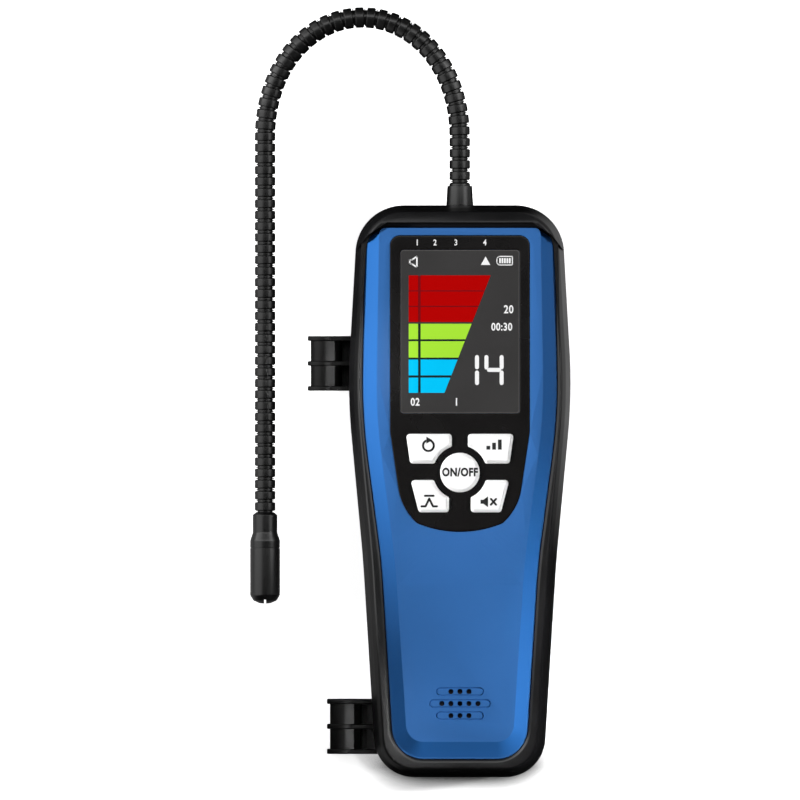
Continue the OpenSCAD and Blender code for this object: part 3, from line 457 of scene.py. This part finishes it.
keyZ = 37.2
keyPath = eased([(0, 34.0, 0), (0, 36.5, 0.5), (1.0, keyZ, 0.5), (1.1, keyZ, 0)])
roundPath = eased([(0, 34.0, 0), (0, 36.5, 0.5), (1.1, keyZ, 0.6), (1.3, keyZ, 0)])
keys = {"level": keyLoop("upper"), "mute": keyLoop("lower"), "reset": mirrored(keyLoop("upper")),
        "peak": mirrored(keyLoop("lower"))}
for name, loop in keys.items():
    bm = bmesh.new()
    solid(bm, raised(loop, keyPath))
    settle(build(name + "Key", bm, "keyResin"), name + "_key", "key_white", name + "_button")
bm = bmesh.new()
solid(bm, [circle(0, keyY, roundR - k, z) for k, z in roundPath])
settle(build("powerKey", bm, "keyResin"), "power_key", "key_white", "power_button")
print("keys made")


inkSunk, inkProud = 0.04, 0.03


# Thin printed or lit shapes, each a closed outline, standing just proud of a face
def ink(name, shapes, z, finishName, body, slotName):
    bm = bmesh.new()
    for shape in shapes:
        solid(bm, [[(x, y, h) for x, y in shape] for h in (z - inkSunk, z + inkProud)])
    return settle(build(name, bm, finishName), body, slotName)


def box(x0, y0, x1, y1):
    return [(x0, y0), (x1, y0), (x1, y1), (x0, y1)]


def bend(x, y, r, start, stop, steps=14):
    turns = [math.radians(start + (stop - start) * j / steps) for j in range(steps + 1)]
    return [(x + r * math.cos(a), y + r * math.sin(a)) for a in turns]


# Round-ended strokes along a line of points
def stroke(points, width, steps=5):
    made = []
    for (x0, y0), (x1, y1) in zip(points, points[1:]):
        a = math.atan2(y1 - y0, x1 - x0)
        ends = [(x1, y1, a - math.pi / 2), (x0, y0, a + math.pi / 2)]
        turns = [(x, y, b + math.pi * j / steps) for x, y, b in ends for j in range(steps + 1)]
        made.append([(x + width / 2 * math.cos(b), y + width / 2 * math.sin(b)) for x, y, b in turns])
    return made


letters = {"spacing": 1.1, "narrow": 0.82, "depth": 0.03, "steps": 4}


# Numbers and words as thin solids, narrowed a little
def lettering(name, text, spot, size, weight, z, finishName, body, slotName):
    curve = bpy.data.curves.new(name, "FONT")
    curve.body, curve.align_x, curve.align_y = text, "CENTER", "CENTER"
    curve.space_character, curve.resolution_u = letters["spacing"], letters["steps"]
    curve.size, curve.offset, curve.extrude = size * mm, weight * mm, letters["depth"] * mm
    typed = link(name, curve)
    mesh = bpy.data.meshes.new_from_object(typed.evaluated_get(bpy.context.evaluated_depsgraph_get()))
    bpy.data.objects.remove(typed)
    place = Matrix.Translation((spot[0] * mm, spot[1] * mm, z * mm))
    mesh.transform(place @ Matrix.Diagonal((letters["narrow"], 1, 1, 1)))
    mesh.materials.clear()
    mesh.materials.append(mats[finishName])
    mesh.name = name
    return settle(link(name, mesh), body, slotName)


# Display: a bar graph that narrows downwards, a reading in segments, plain icons and numbers
screenZ, backZ = 35.9, 35.88
graph = {"left": -17.87, "columnEnd": -14.6, "barStart": -13.7, "topX": 10.75, "topY": 75.4, "footX": -5.4,
         "footY": 34.4}
graphBacks = {"barsBackRed": (75.2, 59.1, "segmentDim"), "barsBackDark": (58.5, 34.6, "segmentOff")}
graphRows = {"Red": [(75.4, 70.15), (69.75, 64.75), (64.35, 59.1)], "Green": [(58.5, 53.1), (52.4, 46.7)],
             "Cyan": [(46.0, 40.5), (39.7, 34.4)]}


# A bar between two heights, from its left edge to the graph's slanting side
def bar(left, foot, top):
    slope = (graph["topX"] - graph["footX"]) / (graph["topY"] - graph["footY"])
    ends = [(graph["footX"] + slope * (y - graph["footY"]), y) for y in (foot, top)]
    return [(left, foot), *ends, (left, top)]


for name, (top, foot, finishName) in graphBacks.items():
    ink(name, [bar(graph["left"], foot, top)], backZ, finishName, "casing", "lcd")
for tone, rows in graphRows.items():
    shapes = []
    for top, foot in rows:
        shapes.append(box(graph["left"], foot, graph["columnEnd"], top))
        shapes.append(bar(graph["barStart"], foot, top))
    ink("bars" + tone, shapes, screenZ, "segment" + tone, "casing", "lcd")
readingWidth = 1.4
readingLines = [((5.95, 46.9), (5.95, 43.3)), ((5.95, 41.5), (5.95, 37.8)), ((9.25, 46.9), (9.25, 43.2)),
                ((10.1, 42.4), (13.7, 42.4)), ((14.55, 46.9), (14.55, 43.3)), ((14.55, 41.5), (14.55, 37.8))]
digits = [shape for ends in readingLines for shape in stroke(ends, readingWidth)]
ink("reading", digits, screenZ, "segmentWhite", "casing", "lcd")
speaker = stroke([(-17.5, 80.75), (-16.8, 80.75), (-15.0, 82.0), (-15.0, 78.2), (-16.8, 79.45),
                  (-17.5, 79.45), (-17.5, 80.75)], 0.52)
warning = [[(7.3, 79.0), (10.6, 79.0), (8.95, 82.0)]]
cellMark = stroke([(13.6, 82.0), (18.3, 82.0), (18.3, 79.0), (13.6, 79.0), (12.9, 79.7), (12.9, 81.3),
                   (13.6, 82.0)], 0.35)
cellMark += [box(13.7 + 0.85 * i, 79.6, 14.3 + 0.85 * i, 81.4) for i in range(5)]
ink("screenIcons", speaker + warning + cellMark, screenZ, "segmentWhite", "casing", "lcd")
screenNumbers = {"peakNumber": ("20", (17.0, 63.4), 3.9), "timeNumber": ("00:30", (14.6, 57.3), 3.7),
                 "levelNumber": ("02", (-15.6, 31.1), 3.7), "stepNumber": ("1", (-1.2, 31.1), 3.7)}
screenWeight = 0.09
for name, (text, spot, size) in screenNumbers.items():
    lettering(name, text, spot, size, screenWeight, screenZ, "segmentWhite", "casing", "lcd")
channels = {"x": (-14.9, -8.7, -1.4, 8.7), "y": 86.75, "size": 2.9, "weight": 0.05}
for i, x in enumerate(channels["x"], 1):
    lettering("channelNumber%d" % i, str(i), (x, channels["y"]), channels["size"], channels["weight"], bezelZ,
              "segmentWhite", "casing", "bezel_gloss")

# Key legends: ON and OFF, and plain pictograms
inkW, stepW, wordSize, wordWeight = 0.72, 0.65, 3.9, 0.18
lettering("powerLegend", "ON/OFF", (0, keyY), wordSize, wordWeight, keyZ, "legendInk", "power_key",
          "key_white")
resetMark = stroke(bend(-11.0, 16.0, 1.9, 120, 420), inkW) + [[(-11.7, 19.1), (-11.7, 16.7), (-9.6, 17.9)]]
levelMark = [box(x - stepW, 14.6, x + stepW, top) for x, top in ((9.9, 15.9), (11.9, 17.0), (13.9, 18.1))]
peakMark = stroke([(-13.4, -5.2), (-12.0, -5.2), (-10.7, -2.5), (-9.4, -5.2), (-8.0, -5.2)], inkW)
peakMark += stroke([(-12.2, -1.5), (-9.2, -1.5)], inkW)
muteMark = [[(7.2, -4.3), (8.2, -4.3), (9.8, -5.5), (9.8, -1.7), (8.2, -2.9), (7.2, -2.9)]]
muteMark += stroke([(10.8, -2.6), (12.6, -4.6)], inkW) + stroke([(12.6, -2.6), (10.8, -4.6)], inkW)
marks = {"reset": resetMark, "level": levelMark, "peak": peakMark, "mute": muteMark}
for name, shapes in marks.items():
    ink(name + "Legend", shapes, keyZ, "legendInk", name + "_key", "key_white")
print("display and legends made")


# Turned pieces along Y at (x, z): profile corners (radius, place along Y, rounding)
def lathe(bm, x, z, corners, way=1, start=0.0, steps=64):
    turns = [math.tau * i / steps for i in range(steps)]
    solid(bm, [[(x + r * math.cos(a), start + way * y, z + r * math.sin(a)) for a in turns]
               for r, y in eased(corners)])


# Neck: a train of rings along each stretch of the centre line, one stretch to a body
neck = {"start": 108.4, "z": 18, "span": 68.1, "rings": 68, "turnStart": 4, "turnRings": 30.5, "peak": 0.3,
        "ringR": 3.6, "ringBore": 2.0, "groove": 0.92, "edge": 0.34, "coreR": 2.66, "bandR": 3.08,
        "bandW": 0.36}
trail = [Vector((0, 0))]
for i in range(neck["rings"]):
    share = min(1, max(0, (i + 0.5 - neck["turnStart"]) / neck["turnRings"]))
    heading = math.pi * share - neck["peak"] / 2 * math.sin(math.tau * share)
    trail.append(trail[-1] + Vector((-math.sin(heading), math.cos(heading))))
pitch = -neck["span"] / trail[-1].x


def neckPoint(i):
    return Vector((pitch * trail[i].x, neck["start"] + pitch * trail[i].y, neck["z"]))


train, trainIn = nodeGroup("ringTrain", (
    ("Path", "INPUT", "Geometry"), ("Ring", "INPUT", "Object"), ("Core Radius", "INPUT", "Float"),
    ("Coat", "INPUT", "Material"), ("Train", "OUTPUT", "Geometry")))
# a ring on each edge of the path, turned along it
ends = addNode(train, "GeometryNodeInputMeshEdgeVertices").outputs
along = addNode(train, "ShaderNodeVectorMath", {"operation": "SUBTRACT"},
                {0: ends["Position 2"], 1: ends["Position 1"]}).outputs[0]
kept = addNode(train, "GeometryNodeCaptureAttribute", {"domain": "EDGE"}, {"Geometry": trainIn["Path"]})
kept.capture_items.new("VECTOR", "along")
train.links.new(along, kept.inputs["along"])
turned = addNode(train, "FunctionNodeAlignRotationToVector", {"axis": "Y"},
                 {"Vector": kept.outputs["along"]}).outputs[0]
spots = addNode(train, "GeometryNodeMeshToPoints", {"mode": "EDGES"},
                {"Mesh": kept.outputs["Geometry"]}).outputs[0]
ringShape = addNode(train, "GeometryNodeObjectInfo", {}, {"Object": trainIn["Ring"]}).outputs["Geometry"]
rings = addNode(train, "GeometryNodeInstanceOnPoints", {},
                {"Points": spots, "Instance": ringShape, "Rotation": turned}).outputs[0]
ringTrain = addNode(train, "GeometryNodeRealizeInstances", {}, {0: rings}).outputs[0]
# a round core along the path, with a ball at every point but the last
wire = addNode(train, "GeometryNodeMeshToCurve", {}, {"Mesh": trainIn["Path"]}).outputs[0]
hoop = addNode(train, "GeometryNodeCurvePrimitiveCircle", {"Resolution": 40},
               {"Radius": trainIn["Core Radius"]}).outputs[0]
core = addNode(train, "GeometryNodeCurveToMesh", {"Fill Caps": True},
               {"Curve": wire, "Profile Curve": hoop}).outputs[0]
ballShape = addNode(train, "GeometryNodeMeshUVSphere", {"Segments": 40, "Rings": 20},
                    {"Radius": trainIn["Core Radius"]}).outputs[0]
order = addNode(train, "GeometryNodeInputIndex").outputs[0]
last = addNode(train, "GeometryNodeAttributeDomainSize", {"component": "MESH"},
               {0: trainIn["Path"]}).outputs["Edge Count"]
early = addNode(train, "FunctionNodeCompare", {"data_type": "INT", "operation": "LESS_THAN"},
                {2: order, 3: last}).outputs[0]
joints = addNode(train, "GeometryNodeMeshToPoints", {"mode": "VERTICES"},
                 {"Mesh": trainIn["Path"], "Selection": early}).outputs[0]
balls = addNode(train, "GeometryNodeInstanceOnPoints", {},
                {"Points": joints, "Instance": ballShape}).outputs[0]
inside = addNode(train, "GeometryNodeJoinGeometry", {}, {0: core})
train.links.new(balls, inside.inputs[0])
filled = addNode(train, "GeometryNodeRealizeInstances", {}, {0: inside.outputs[0]}).outputs[0]
evened = addNode(train, "GeometryNodeSetShadeSmooth", {}, {"Geometry": filled}).outputs[0]
whole = addNode(train, "GeometryNodeJoinGeometry", {}, {0: evened})
train.links.new(ringTrain, whole.inputs[0])
coated = addNode(train, "GeometryNodeSetMaterial", {},
                 {"Geometry": whole.outputs[0], "Material": trainIn["Coat"]}).outputs[0]
addNode(train, "NodeGroupOutput", {}, {"Train": coated})

# One ring with chamfered edges, and the thin band in the groove before it
half, bore = (pitch - neck["groove"]) / 2, neck["ringBore"]
outerR, edgeR, edgeY = neck["ringR"], neck["ringR"] - neck["edge"], half - neck["edge"]
bandR, bandY = neck["bandR"], neck["bandW"] / 2
bm = bmesh.new()
lathe(bm, 0, 0, [(bore, -half, 0), (edgeR, -half, 0.1), (outerR, -edgeY, 0.15), (outerR, edgeY, 0.15),
                 (edgeR, half, 0.1), (bore, half, 0)])
lathe(bm, 0, 0, [(bore, -bandY, 0), (bandR, -bandY, 0.06), (bandR, bandY, 0.06), (bore, bandY, 0)], 1,
      -pitch / 2)
ring = build("ringShape", bm, "neckCoat")
stretches = [("neckBase", 6, "casing", "neck_base")]
for k, count in enumerate([3] * 9 + [7] * 5, 1):
    stretches.append(("neckLink%d" % k, count, "link_%d" % k, "neck_link_%d" % k))
first = 0
for name, count, body, node in stretches:
    path = bpy.data.meshes.new(name)
    path.from_pydata([neckPoint(first + i) * mm for i in range(count + 1)],
                     [(i, i + 1) for i in range(count)], [])
    stretch = link(name, path)
    grow(stretch, train, {"Ring": ring, "Core Radius": neck["coreR"] * mm, "Coat": mats["neckCoat"]})
    settle(stretch, body, "neck_coat", node)
    first += count
bpy.data.objects.remove(ring)

# Ferrule and sensor head
ferrulePath = [(2.2, 95, 0), (4.7, 95, 0), (4.7, 100.3, 0.5), (4.35, 106.75, 0.15), (3.62, 106.85, 0.05),
               (3.6, 107.5, 0.1), (3.15, 107.95, 0.1), (2.2, 107.95, 0)]
housingPath = [(2.5, 0.02, 0), (3.1, 0.02, 0.2), (4.3, 1.0, 0.3), (4.28, 7.2, 1.6), (5.2, 9.9, 2.0),
               (5.2, 10.6, 0), (5.2, 12.3, 0), (5.2, 12.42, 0.05), (4.98, 12.42, 0), (4.98, 12.6, 0),
               (4.2, 12.6, 0), (4.2, 17, 0), (2, 17, 0)]
domePath = [(4.3, 12.62, 0), (5.2, 12.62, 0.05), (5.2, 29.0, 1.2), (4.1, 30.9, 1.2), (2.0, 31.85, 0.6),
            (0.6, 32.0, 0)]
slot = {"half": 0.38, "from": 30.6, "length": 4, "z": (5, 30)}
headAt = neckPoint(neck["rings"])
bm = bmesh.new()
lathe(bm, 0, neck["z"], ferrulePath)
settle(build("neckFerrule", bm, "headAbs"), "casing", "black_abs", "neck_ferrule")
bm = bmesh.new()
lathe(bm, headAt.x, headAt.z, housingPath, -1, headAt.y)
settle(build("sensorHousing", bm, "headAbs"), "link_14", "head_abs", "sensor_housing")
bm = bmesh.new()
lathe(bm, headAt.x, headAt.z, domePath, -1, headAt.y)
sensorCap = build("sensorCap", bm, "headAbs")
bm = bmesh.new()
slotShape = box(-slot["half"], 0, slot["half"], slot["length"])
solid(bm, [[(headAt.x + x, headAt.y - slot["from"] - y, z) for x, y in slotShape] for z in slot["z"]])
settle(carve(sensorCap, bm), "sensor_tip", "head_abs", "sensor_cap")
print("neck and head made")

# Clips: a sprung C with three ribs, a stem and webs to the casing, and a flat strip on top
clip = {"bore": 5.25, "wall": 6.25, "rib": 6.95, "length": 19.2, "ribW": 1.7, "mouth": 42, "flare": 0.45,
        "z": 10.2, "webHalf": 8.2, "webTop": 6.4, "webDrops": (4.5, 3, 4.5), "webX": 5.5, "webIn": 0.8,
        "crownX": 1.8, "crownZ": 5.1, "stemX": 5.6, "stemIn": 1, "stemFoot": -3, "stemTop": -0.5,
        "strip": [(1.2, 5.4), (3.6, 5.4), (3.6, 5.9), (1.2, 6.35)]}
clipSpots = {"upperClip": {"x": -47.37, "y": 44.7, "side": -38.2, "node": "upper_clip"},
             "lowerClip": {"x": -40.65, "y": -82.4, "side": -29.6, "node": "lower_clip",
                           "plate": [(-32.4, -3), (-28.9, -3), (-28.9, 3.2), (-32.4, 2.8)]}}


def cLoop(r, flare):
    lip, out = (r - clip["bore"]) / 2 + flare / 4, (r + clip["bore"]) / 2 + flare
    a = math.radians(clip["mouth"])
    lips = [(-out * math.cos(a), way * out * math.sin(a), lip, 8) for way in (1, -1)]
    return [lips[0], (0, 0, r, 60), lips[1], (0, 0, -clip["bore"], 60)]


# A block between two heights with eased ends
def slabUp(bm, x0, x1, y0, y1, z0, z1):
    path = eased([(0.3, z0, 0), (0, z0 + 0.3, 0.2), (0, z1 - 0.3, 0.2), (0.3, z1, 0)])
    solid(bm, [[(x, y, z) for x, y in box(x0, y0 + k, x1, y1 - k)] for k, z in path])


for name, spot in clipSpots.items():
    x, y, side, z = spot["x"], spot["y"], spot["side"], clip["z"]
    halfL, halfR, webTop = clip["length"] / 2, clip["ribW"] / 2, z + clip["webTop"]
    ribY = [y + k * (halfL - halfR) for k in (-1, 0, 1)]
    webEnds = (y - clip["webHalf"], y + clip["webHalf"])
    bm = bmesh.new()
    hoops = [(clip["wall"], y, halfL - 0.2, 0)]
    hoops += [(clip["rib"], middle, halfR, clip["flare"]) for middle in ribY]
    for r, middle, h, flare in hoops:
        path = eased([(0.3, -h, 0), (0, 0.25 - h, 0.2), (0, h - 0.25, 0.2), (0.3, h, 0)])
        solid(bm, [[(x + px, middle + t, z + pz) for px, pz in outline(cLoop(r, flare), k)] for k, t in path])
    slabUp(bm, x + clip["stemX"], side + clip["stemIn"], *webEnds, z + clip["stemFoot"], z + clip["stemTop"])
    solid(bm, [[(x + px, end, z + pz) for px, pz in clip["strip"]] for end in webEnds])
    for middle, drop in zip(ribY, clip["webDrops"]):
        ribEnds = (middle - halfR, middle + halfR)
        slabUp(bm, x + clip["webX"], side + clip["webIn"], *ribEnds, z - drop, webTop)
        slabUp(bm, x + clip["crownX"], x + clip["webX"], *ribEnds, z + clip["crownZ"], webTop)
    if "plate" in spot:
        solid(bm, [[(px, end, z + pz) for px, pz in spot["plate"]] for end in webEnds])
    settle(build(name, bm, "clipNylon"), "casing", "clip_nylon", spot["node"])
print("clips made")

# Camera at the photo's angle: straight down on the front
view = {"centre": (-20.9, 31.9), "width": 279.2, "plane": 33, "lens": 800, "sensor": 36}
camData = bpy.data.cameras.new("camera")
camData.lens, camData.sensor_width = view["lens"], view["sensor"]
camera = link("camera", camData)
rise = view["width"] * view["lens"] / view["sensor"] + view["plane"]
camera.location = (view["centre"][0] * mm, view["centre"][1] * mm, rise * mm)
scene.camera = camera


def aimed(name, data, lamp):
    made = link(name, data)
    made.location = lamp["at"]
    made.rotation_euler = (Vector(lamp["to"]) - Vector(lamp["at"])).to_track_quat("-Z", "Y").to_euler()
    return made


# Studio light, in metres: a firm beam from the upper left and one from the lower right,
# a weak fill from each side, and small lamps whose reflections show on the clips
lamps = {
    "upperLeft": {"at": (-0.95, 0.15, 0.48), "to": (-0.01, 0.09, 0.03), "power": 74, "cone": 14.4,
                  "edge": 0.45, "soft": 0.045},
    "lowerRight": {"at": (0.95, 0.06, 0.48), "to": (0.0, -0.14, 0.03), "power": 71, "cone": 14.6,
                   "edge": 0.45, "soft": 0.05},
    "rightFill": {"at": (0.95, 0.15, 0.48), "to": (0.0, 0.09, 0.03), "power": 22, "cone": 24, "edge": 1.0,
                  "soft": 0.10},
    "leftFill": {"at": (-0.95, 0.0, 0.48), "to": (0.0, -0.10, 0.03), "power": 10, "cone": 24, "edge": 1.0,
                 "soft": 0.10},
    "upperClip": {"at": (0.10, 0.0447, 0.43), "to": (-0.045, 0.0447, 0.016), "power": 5.5, "cone": 4,
                  "edge": 1.0, "soft": 0.018, "mirrored": True},
    "lowerClip": {"at": (0.107, -0.0824, 0.43), "to": (-0.038, -0.0824, 0.016), "power": 5.5, "cone": 4,
                  "edge": 1.0, "soft": 0.018, "mirrored": True},
    "lowerPlate": {"at": (-0.13, -0.0824, 0.43), "to": (-0.031, -0.0824, 0.013), "power": 4.0, "cone": 2.5,
                   "edge": 1.0, "soft": 0.03, "mirrored": True},
}
for name, lamp in lamps.items():
    spotData = bpy.data.lights.new(name, "SPOT")
    spotData.energy, spotData.shadow_soft_size = lamp["power"], lamp["soft"]
    spotData.spot_size, spotData.spot_blend = math.radians(lamp["cone"]), lamp["edge"]
    aimed(name, spotData, lamp).visible_glossy = "mirrored" in lamp

# Card at the upper right, seen only in reflections
card = {"at": (0.46, 0.19, 0.40), "to": (-0.04, 0.13, 0.03), "wide": 0.32, "high": 0.46, "power": 1.0}
cardData = bpy.data.lights.new("card", "AREA")
cardData.shape, cardData.energy = "RECTANGLE", card["power"]
cardData.size, cardData.size_y = card["high"], card["wide"]
aimed("card", cardData, card).visible_diffuse = False

# Room: white to the camera, even light on the object.
# In reflections it has a soft box at the left and one above the cap
studio = {"ambient": 0.13, "box": 1.3, "boxFrom": -0.30, "boxFull": -0.55, "dark": 0.02, "north": 3.8,
          "northFrom": 0.15, "northFull": 0.38, "northEnd": 0.6}
world = bpy.data.worlds.new("studio")
world.use_nodes = True
room = world.node_tree
room.nodes.clear()
roomRays = addNode(room, "ShaderNodeLightPath").outputs
outward = addNode(room, "ShaderNodeTexCoord").outputs["Generated"]
aim = addNode(room, "ShaderNodeSeparateXYZ", {}, {0: outward}).outputs
left = addNode(room, "ShaderNodeMapRange",
               {"From Min": studio["boxFrom"], "From Max": studio["boxFull"], "To Min": studio["dark"],
                "To Max": studio["box"], "interpolation_type": "SMOOTHSTEP"}, {"Value": aim[0]}).outputs[0]
north = addNode(room, "ShaderNodeMapRange",
                {"From Min": studio["northFrom"], "From Max": studio["northFull"], "To Min": 0.0,
                 "To Max": studio["north"], "interpolation_type": "SMOOTHSTEP"}, {"Value": aim[1]}).outputs[0]
fade = addNode(room, "ShaderNodeMapRange",
               {"From Min": studio["northFull"], "From Max": studio["northEnd"], "To Min": 1.0,
                "To Max": 0.0}, {"Value": aim[1]}).outputs[0]
boxes = addNode(room, "ShaderNodeMath", {"operation": "MULTIPLY_ADD"},
                {0: north, 1: fade, 2: left}).outputs[0]
unseen = addNode(room, "ShaderNodeMix", {2: studio["ambient"]},
                 {0: roomRays["Is Glossy Ray"], 3: boxes}).outputs[0]
strength = addNode(room, "ShaderNodeMix", {3: 1.0}, {0: roomRays["Is Camera Ray"], 2: unseen}).outputs[0]
glow = addNode(room, "ShaderNodeBackground", {"Color": rgb("#FFFFFF")}, {"Strength": strength}).outputs[0]
addNode(room, "ShaderNodeOutputWorld", {}, {"Surface": glow})
scene.world = world

# Paper floor: lifted to white for the camera with its shadow kept.
# In reflections it is shaded from left to right
paper = {"colour": "#F4F4F4", "shadow": "#202020", "lift": 0.92, "turn": 25, "contact": 10,
         "contactGain": 2.2, "footY": -88, "footRun": 9, "size": 3}
paperZones = {"lowerLeft": (-33, -46, 0.14), "upperRight": (33, 46, 0.45), "farLeft": (-74, -90, 0.35)}
paperMat = bpy.data.materials.new("paperSweep")
paperMat.use_nodes = True
sweep = paperMat.node_tree
sweep.nodes.clear()
paperRays = addNode(sweep, "ShaderNodeLightPath").outputs
onPaper = addNode(sweep, "ShaderNodeTexCoord").outputs["Object"]
where = addNode(sweep, "ShaderNodeSeparateXYZ", {}, {0: onPaper}).outputs
zones = {}
for name, (near, far, light) in paperZones.items():
    ramp = {"From Min": near * mm, "From Max": far * mm, "To Max": light}
    zones[name] = addNode(sweep, "ShaderNodeMapRange", ramp, {"Value": where[0]}).outputs[0]
upwards = addNode(sweep, "ShaderNodeMapRange",
                  {"From Min": -paper["turn"] * mm, "From Max": paper["turn"] * mm},
                  {"Value": where[1]}).outputs[0]
chosen = addNode(sweep, "ShaderNodeMix", {},
                 {0: upwards, 2: zones["lowerLeft"], 3: zones["upperRight"]}).outputs[0]
sheen = addNode(sweep, "ShaderNodeMath", {"operation": "ADD"}, {0: chosen, 1: zones["farLeft"]}).outputs[0]
seen = addNode(sweep, "ShaderNodeEmission", {}, {"Strength": sheen}).outputs[0]
# the contact shadow shows below the foot only
opening = addNode(sweep, "ShaderNodeAmbientOcclusion",
                  {"Distance": paper["contact"] * mm, "samples": 16}).outputs["AO"]
closing = addNode(sweep, "ShaderNodeMath", {"operation": "SUBTRACT", 0: 1.0}, {1: opening}).outputs[0]
below = addNode(sweep, "ShaderNodeMapRange",
                {"From Min": paper["footY"] * mm, "From Max": (paper["footY"] - paper["footRun"]) * mm,
                 "To Max": paper["contactGain"]}, {"Value": where[1]}).outputs[0]
shade = addNode(sweep, "ShaderNodeMath", {"operation": "MULTIPLY", "use_clamp": True},
                {0: closing, 1: below}).outputs[0]
lift = addNode(sweep, "ShaderNodeMath", {"operation": "MULTIPLY", 1: paper["lift"]},
               {0: paperRays["Is Camera Ray"]}).outputs[0]
matt = addNode(sweep, "ShaderNodeBsdfDiffuse", {"Color": rgb(paper["colour"])}).outputs[0]
white = addNode(sweep, "ShaderNodeEmission", {}, {"Strength": lift}).outputs[0]
lifted = addNode(sweep, "ShaderNodeAddShader", {}, {0: matt, 1: white}).outputs[0]
shadow = addNode(sweep, "ShaderNodeBsdfDiffuse", {"Color": rgb(paper["shadow"])}).outputs[0]
shaded = addNode(sweep, "ShaderNodeMixShader", {}, {0: shade, 1: lifted, 2: shadow}).outputs[0]
both = addNode(sweep, "ShaderNodeMixShader", {},
               {0: paperRays["Is Glossy Ray"], 1: shaded, 2: seen}).outputs[0]
addNode(sweep, "ShaderNodeOutputMaterial", {}, {"Surface": both})
bm = bmesh.new()
bmesh.ops.create_grid(bm, x_segments=1, y_segments=1, size=paper["size"])
paperMesh = bpy.data.meshes.new("floor")
bm.to_mesh(paperMesh)
bm.free()
paperMesh.materials.append(paperMat)
link("floor", paperMesh)

# Black flags beside the lower half, seen only in reflections: they keep the foot's rim dark
flags = {"leftFlag": {"x": -95, "north": -55}, "rightFlag": {"x": 100, "north": -20}}
flagSouth, flagFoot, flagTop = -450, 1, 500
for name, flag in flags.items():
    flagShape = box(flagSouth, flagFoot, flag["north"], flagTop)
    flagMesh = bpy.data.meshes.new(name)
    flagMesh.from_pydata([(flag["x"] * mm, y * mm, z * mm) for y, z in flagShape], [], [(0, 1, 2, 3)])
    flagMesh.materials.append(mats["sealRubber"])
    board = link(name, flagMesh)
    board.visible_camera = board.visible_diffuse = board.visible_shadow = board.visible_transmission = False
scene.view_settings.view_transform = "Standard"
print("studio made")

# Materials for the CAD nodes that show as they are
plain = {
    "mouldedAbsBlack": ["rear_shell", "battery_door"], "boardMask": ["main_board"],
    "nickelSteel": ["contact_springs", "contact_plates"], "blackSteel": ["case_screws", "board_screws"],
    "cellSleeve": ["battery_1", "battery_2", "battery_3"],
    "sinteredDisc": ["sensor_filter", "sensor_element"],
    "sealRubber": ["sensor_seal", "key_switches", "buzzer"], "displayFilm": ["lcd_module"],
}
for finishName, names in plain.items():
    for name in names:
        nodes[name].data.materials.clear()
        nodes[name].data.materials.append(mats[finishName])
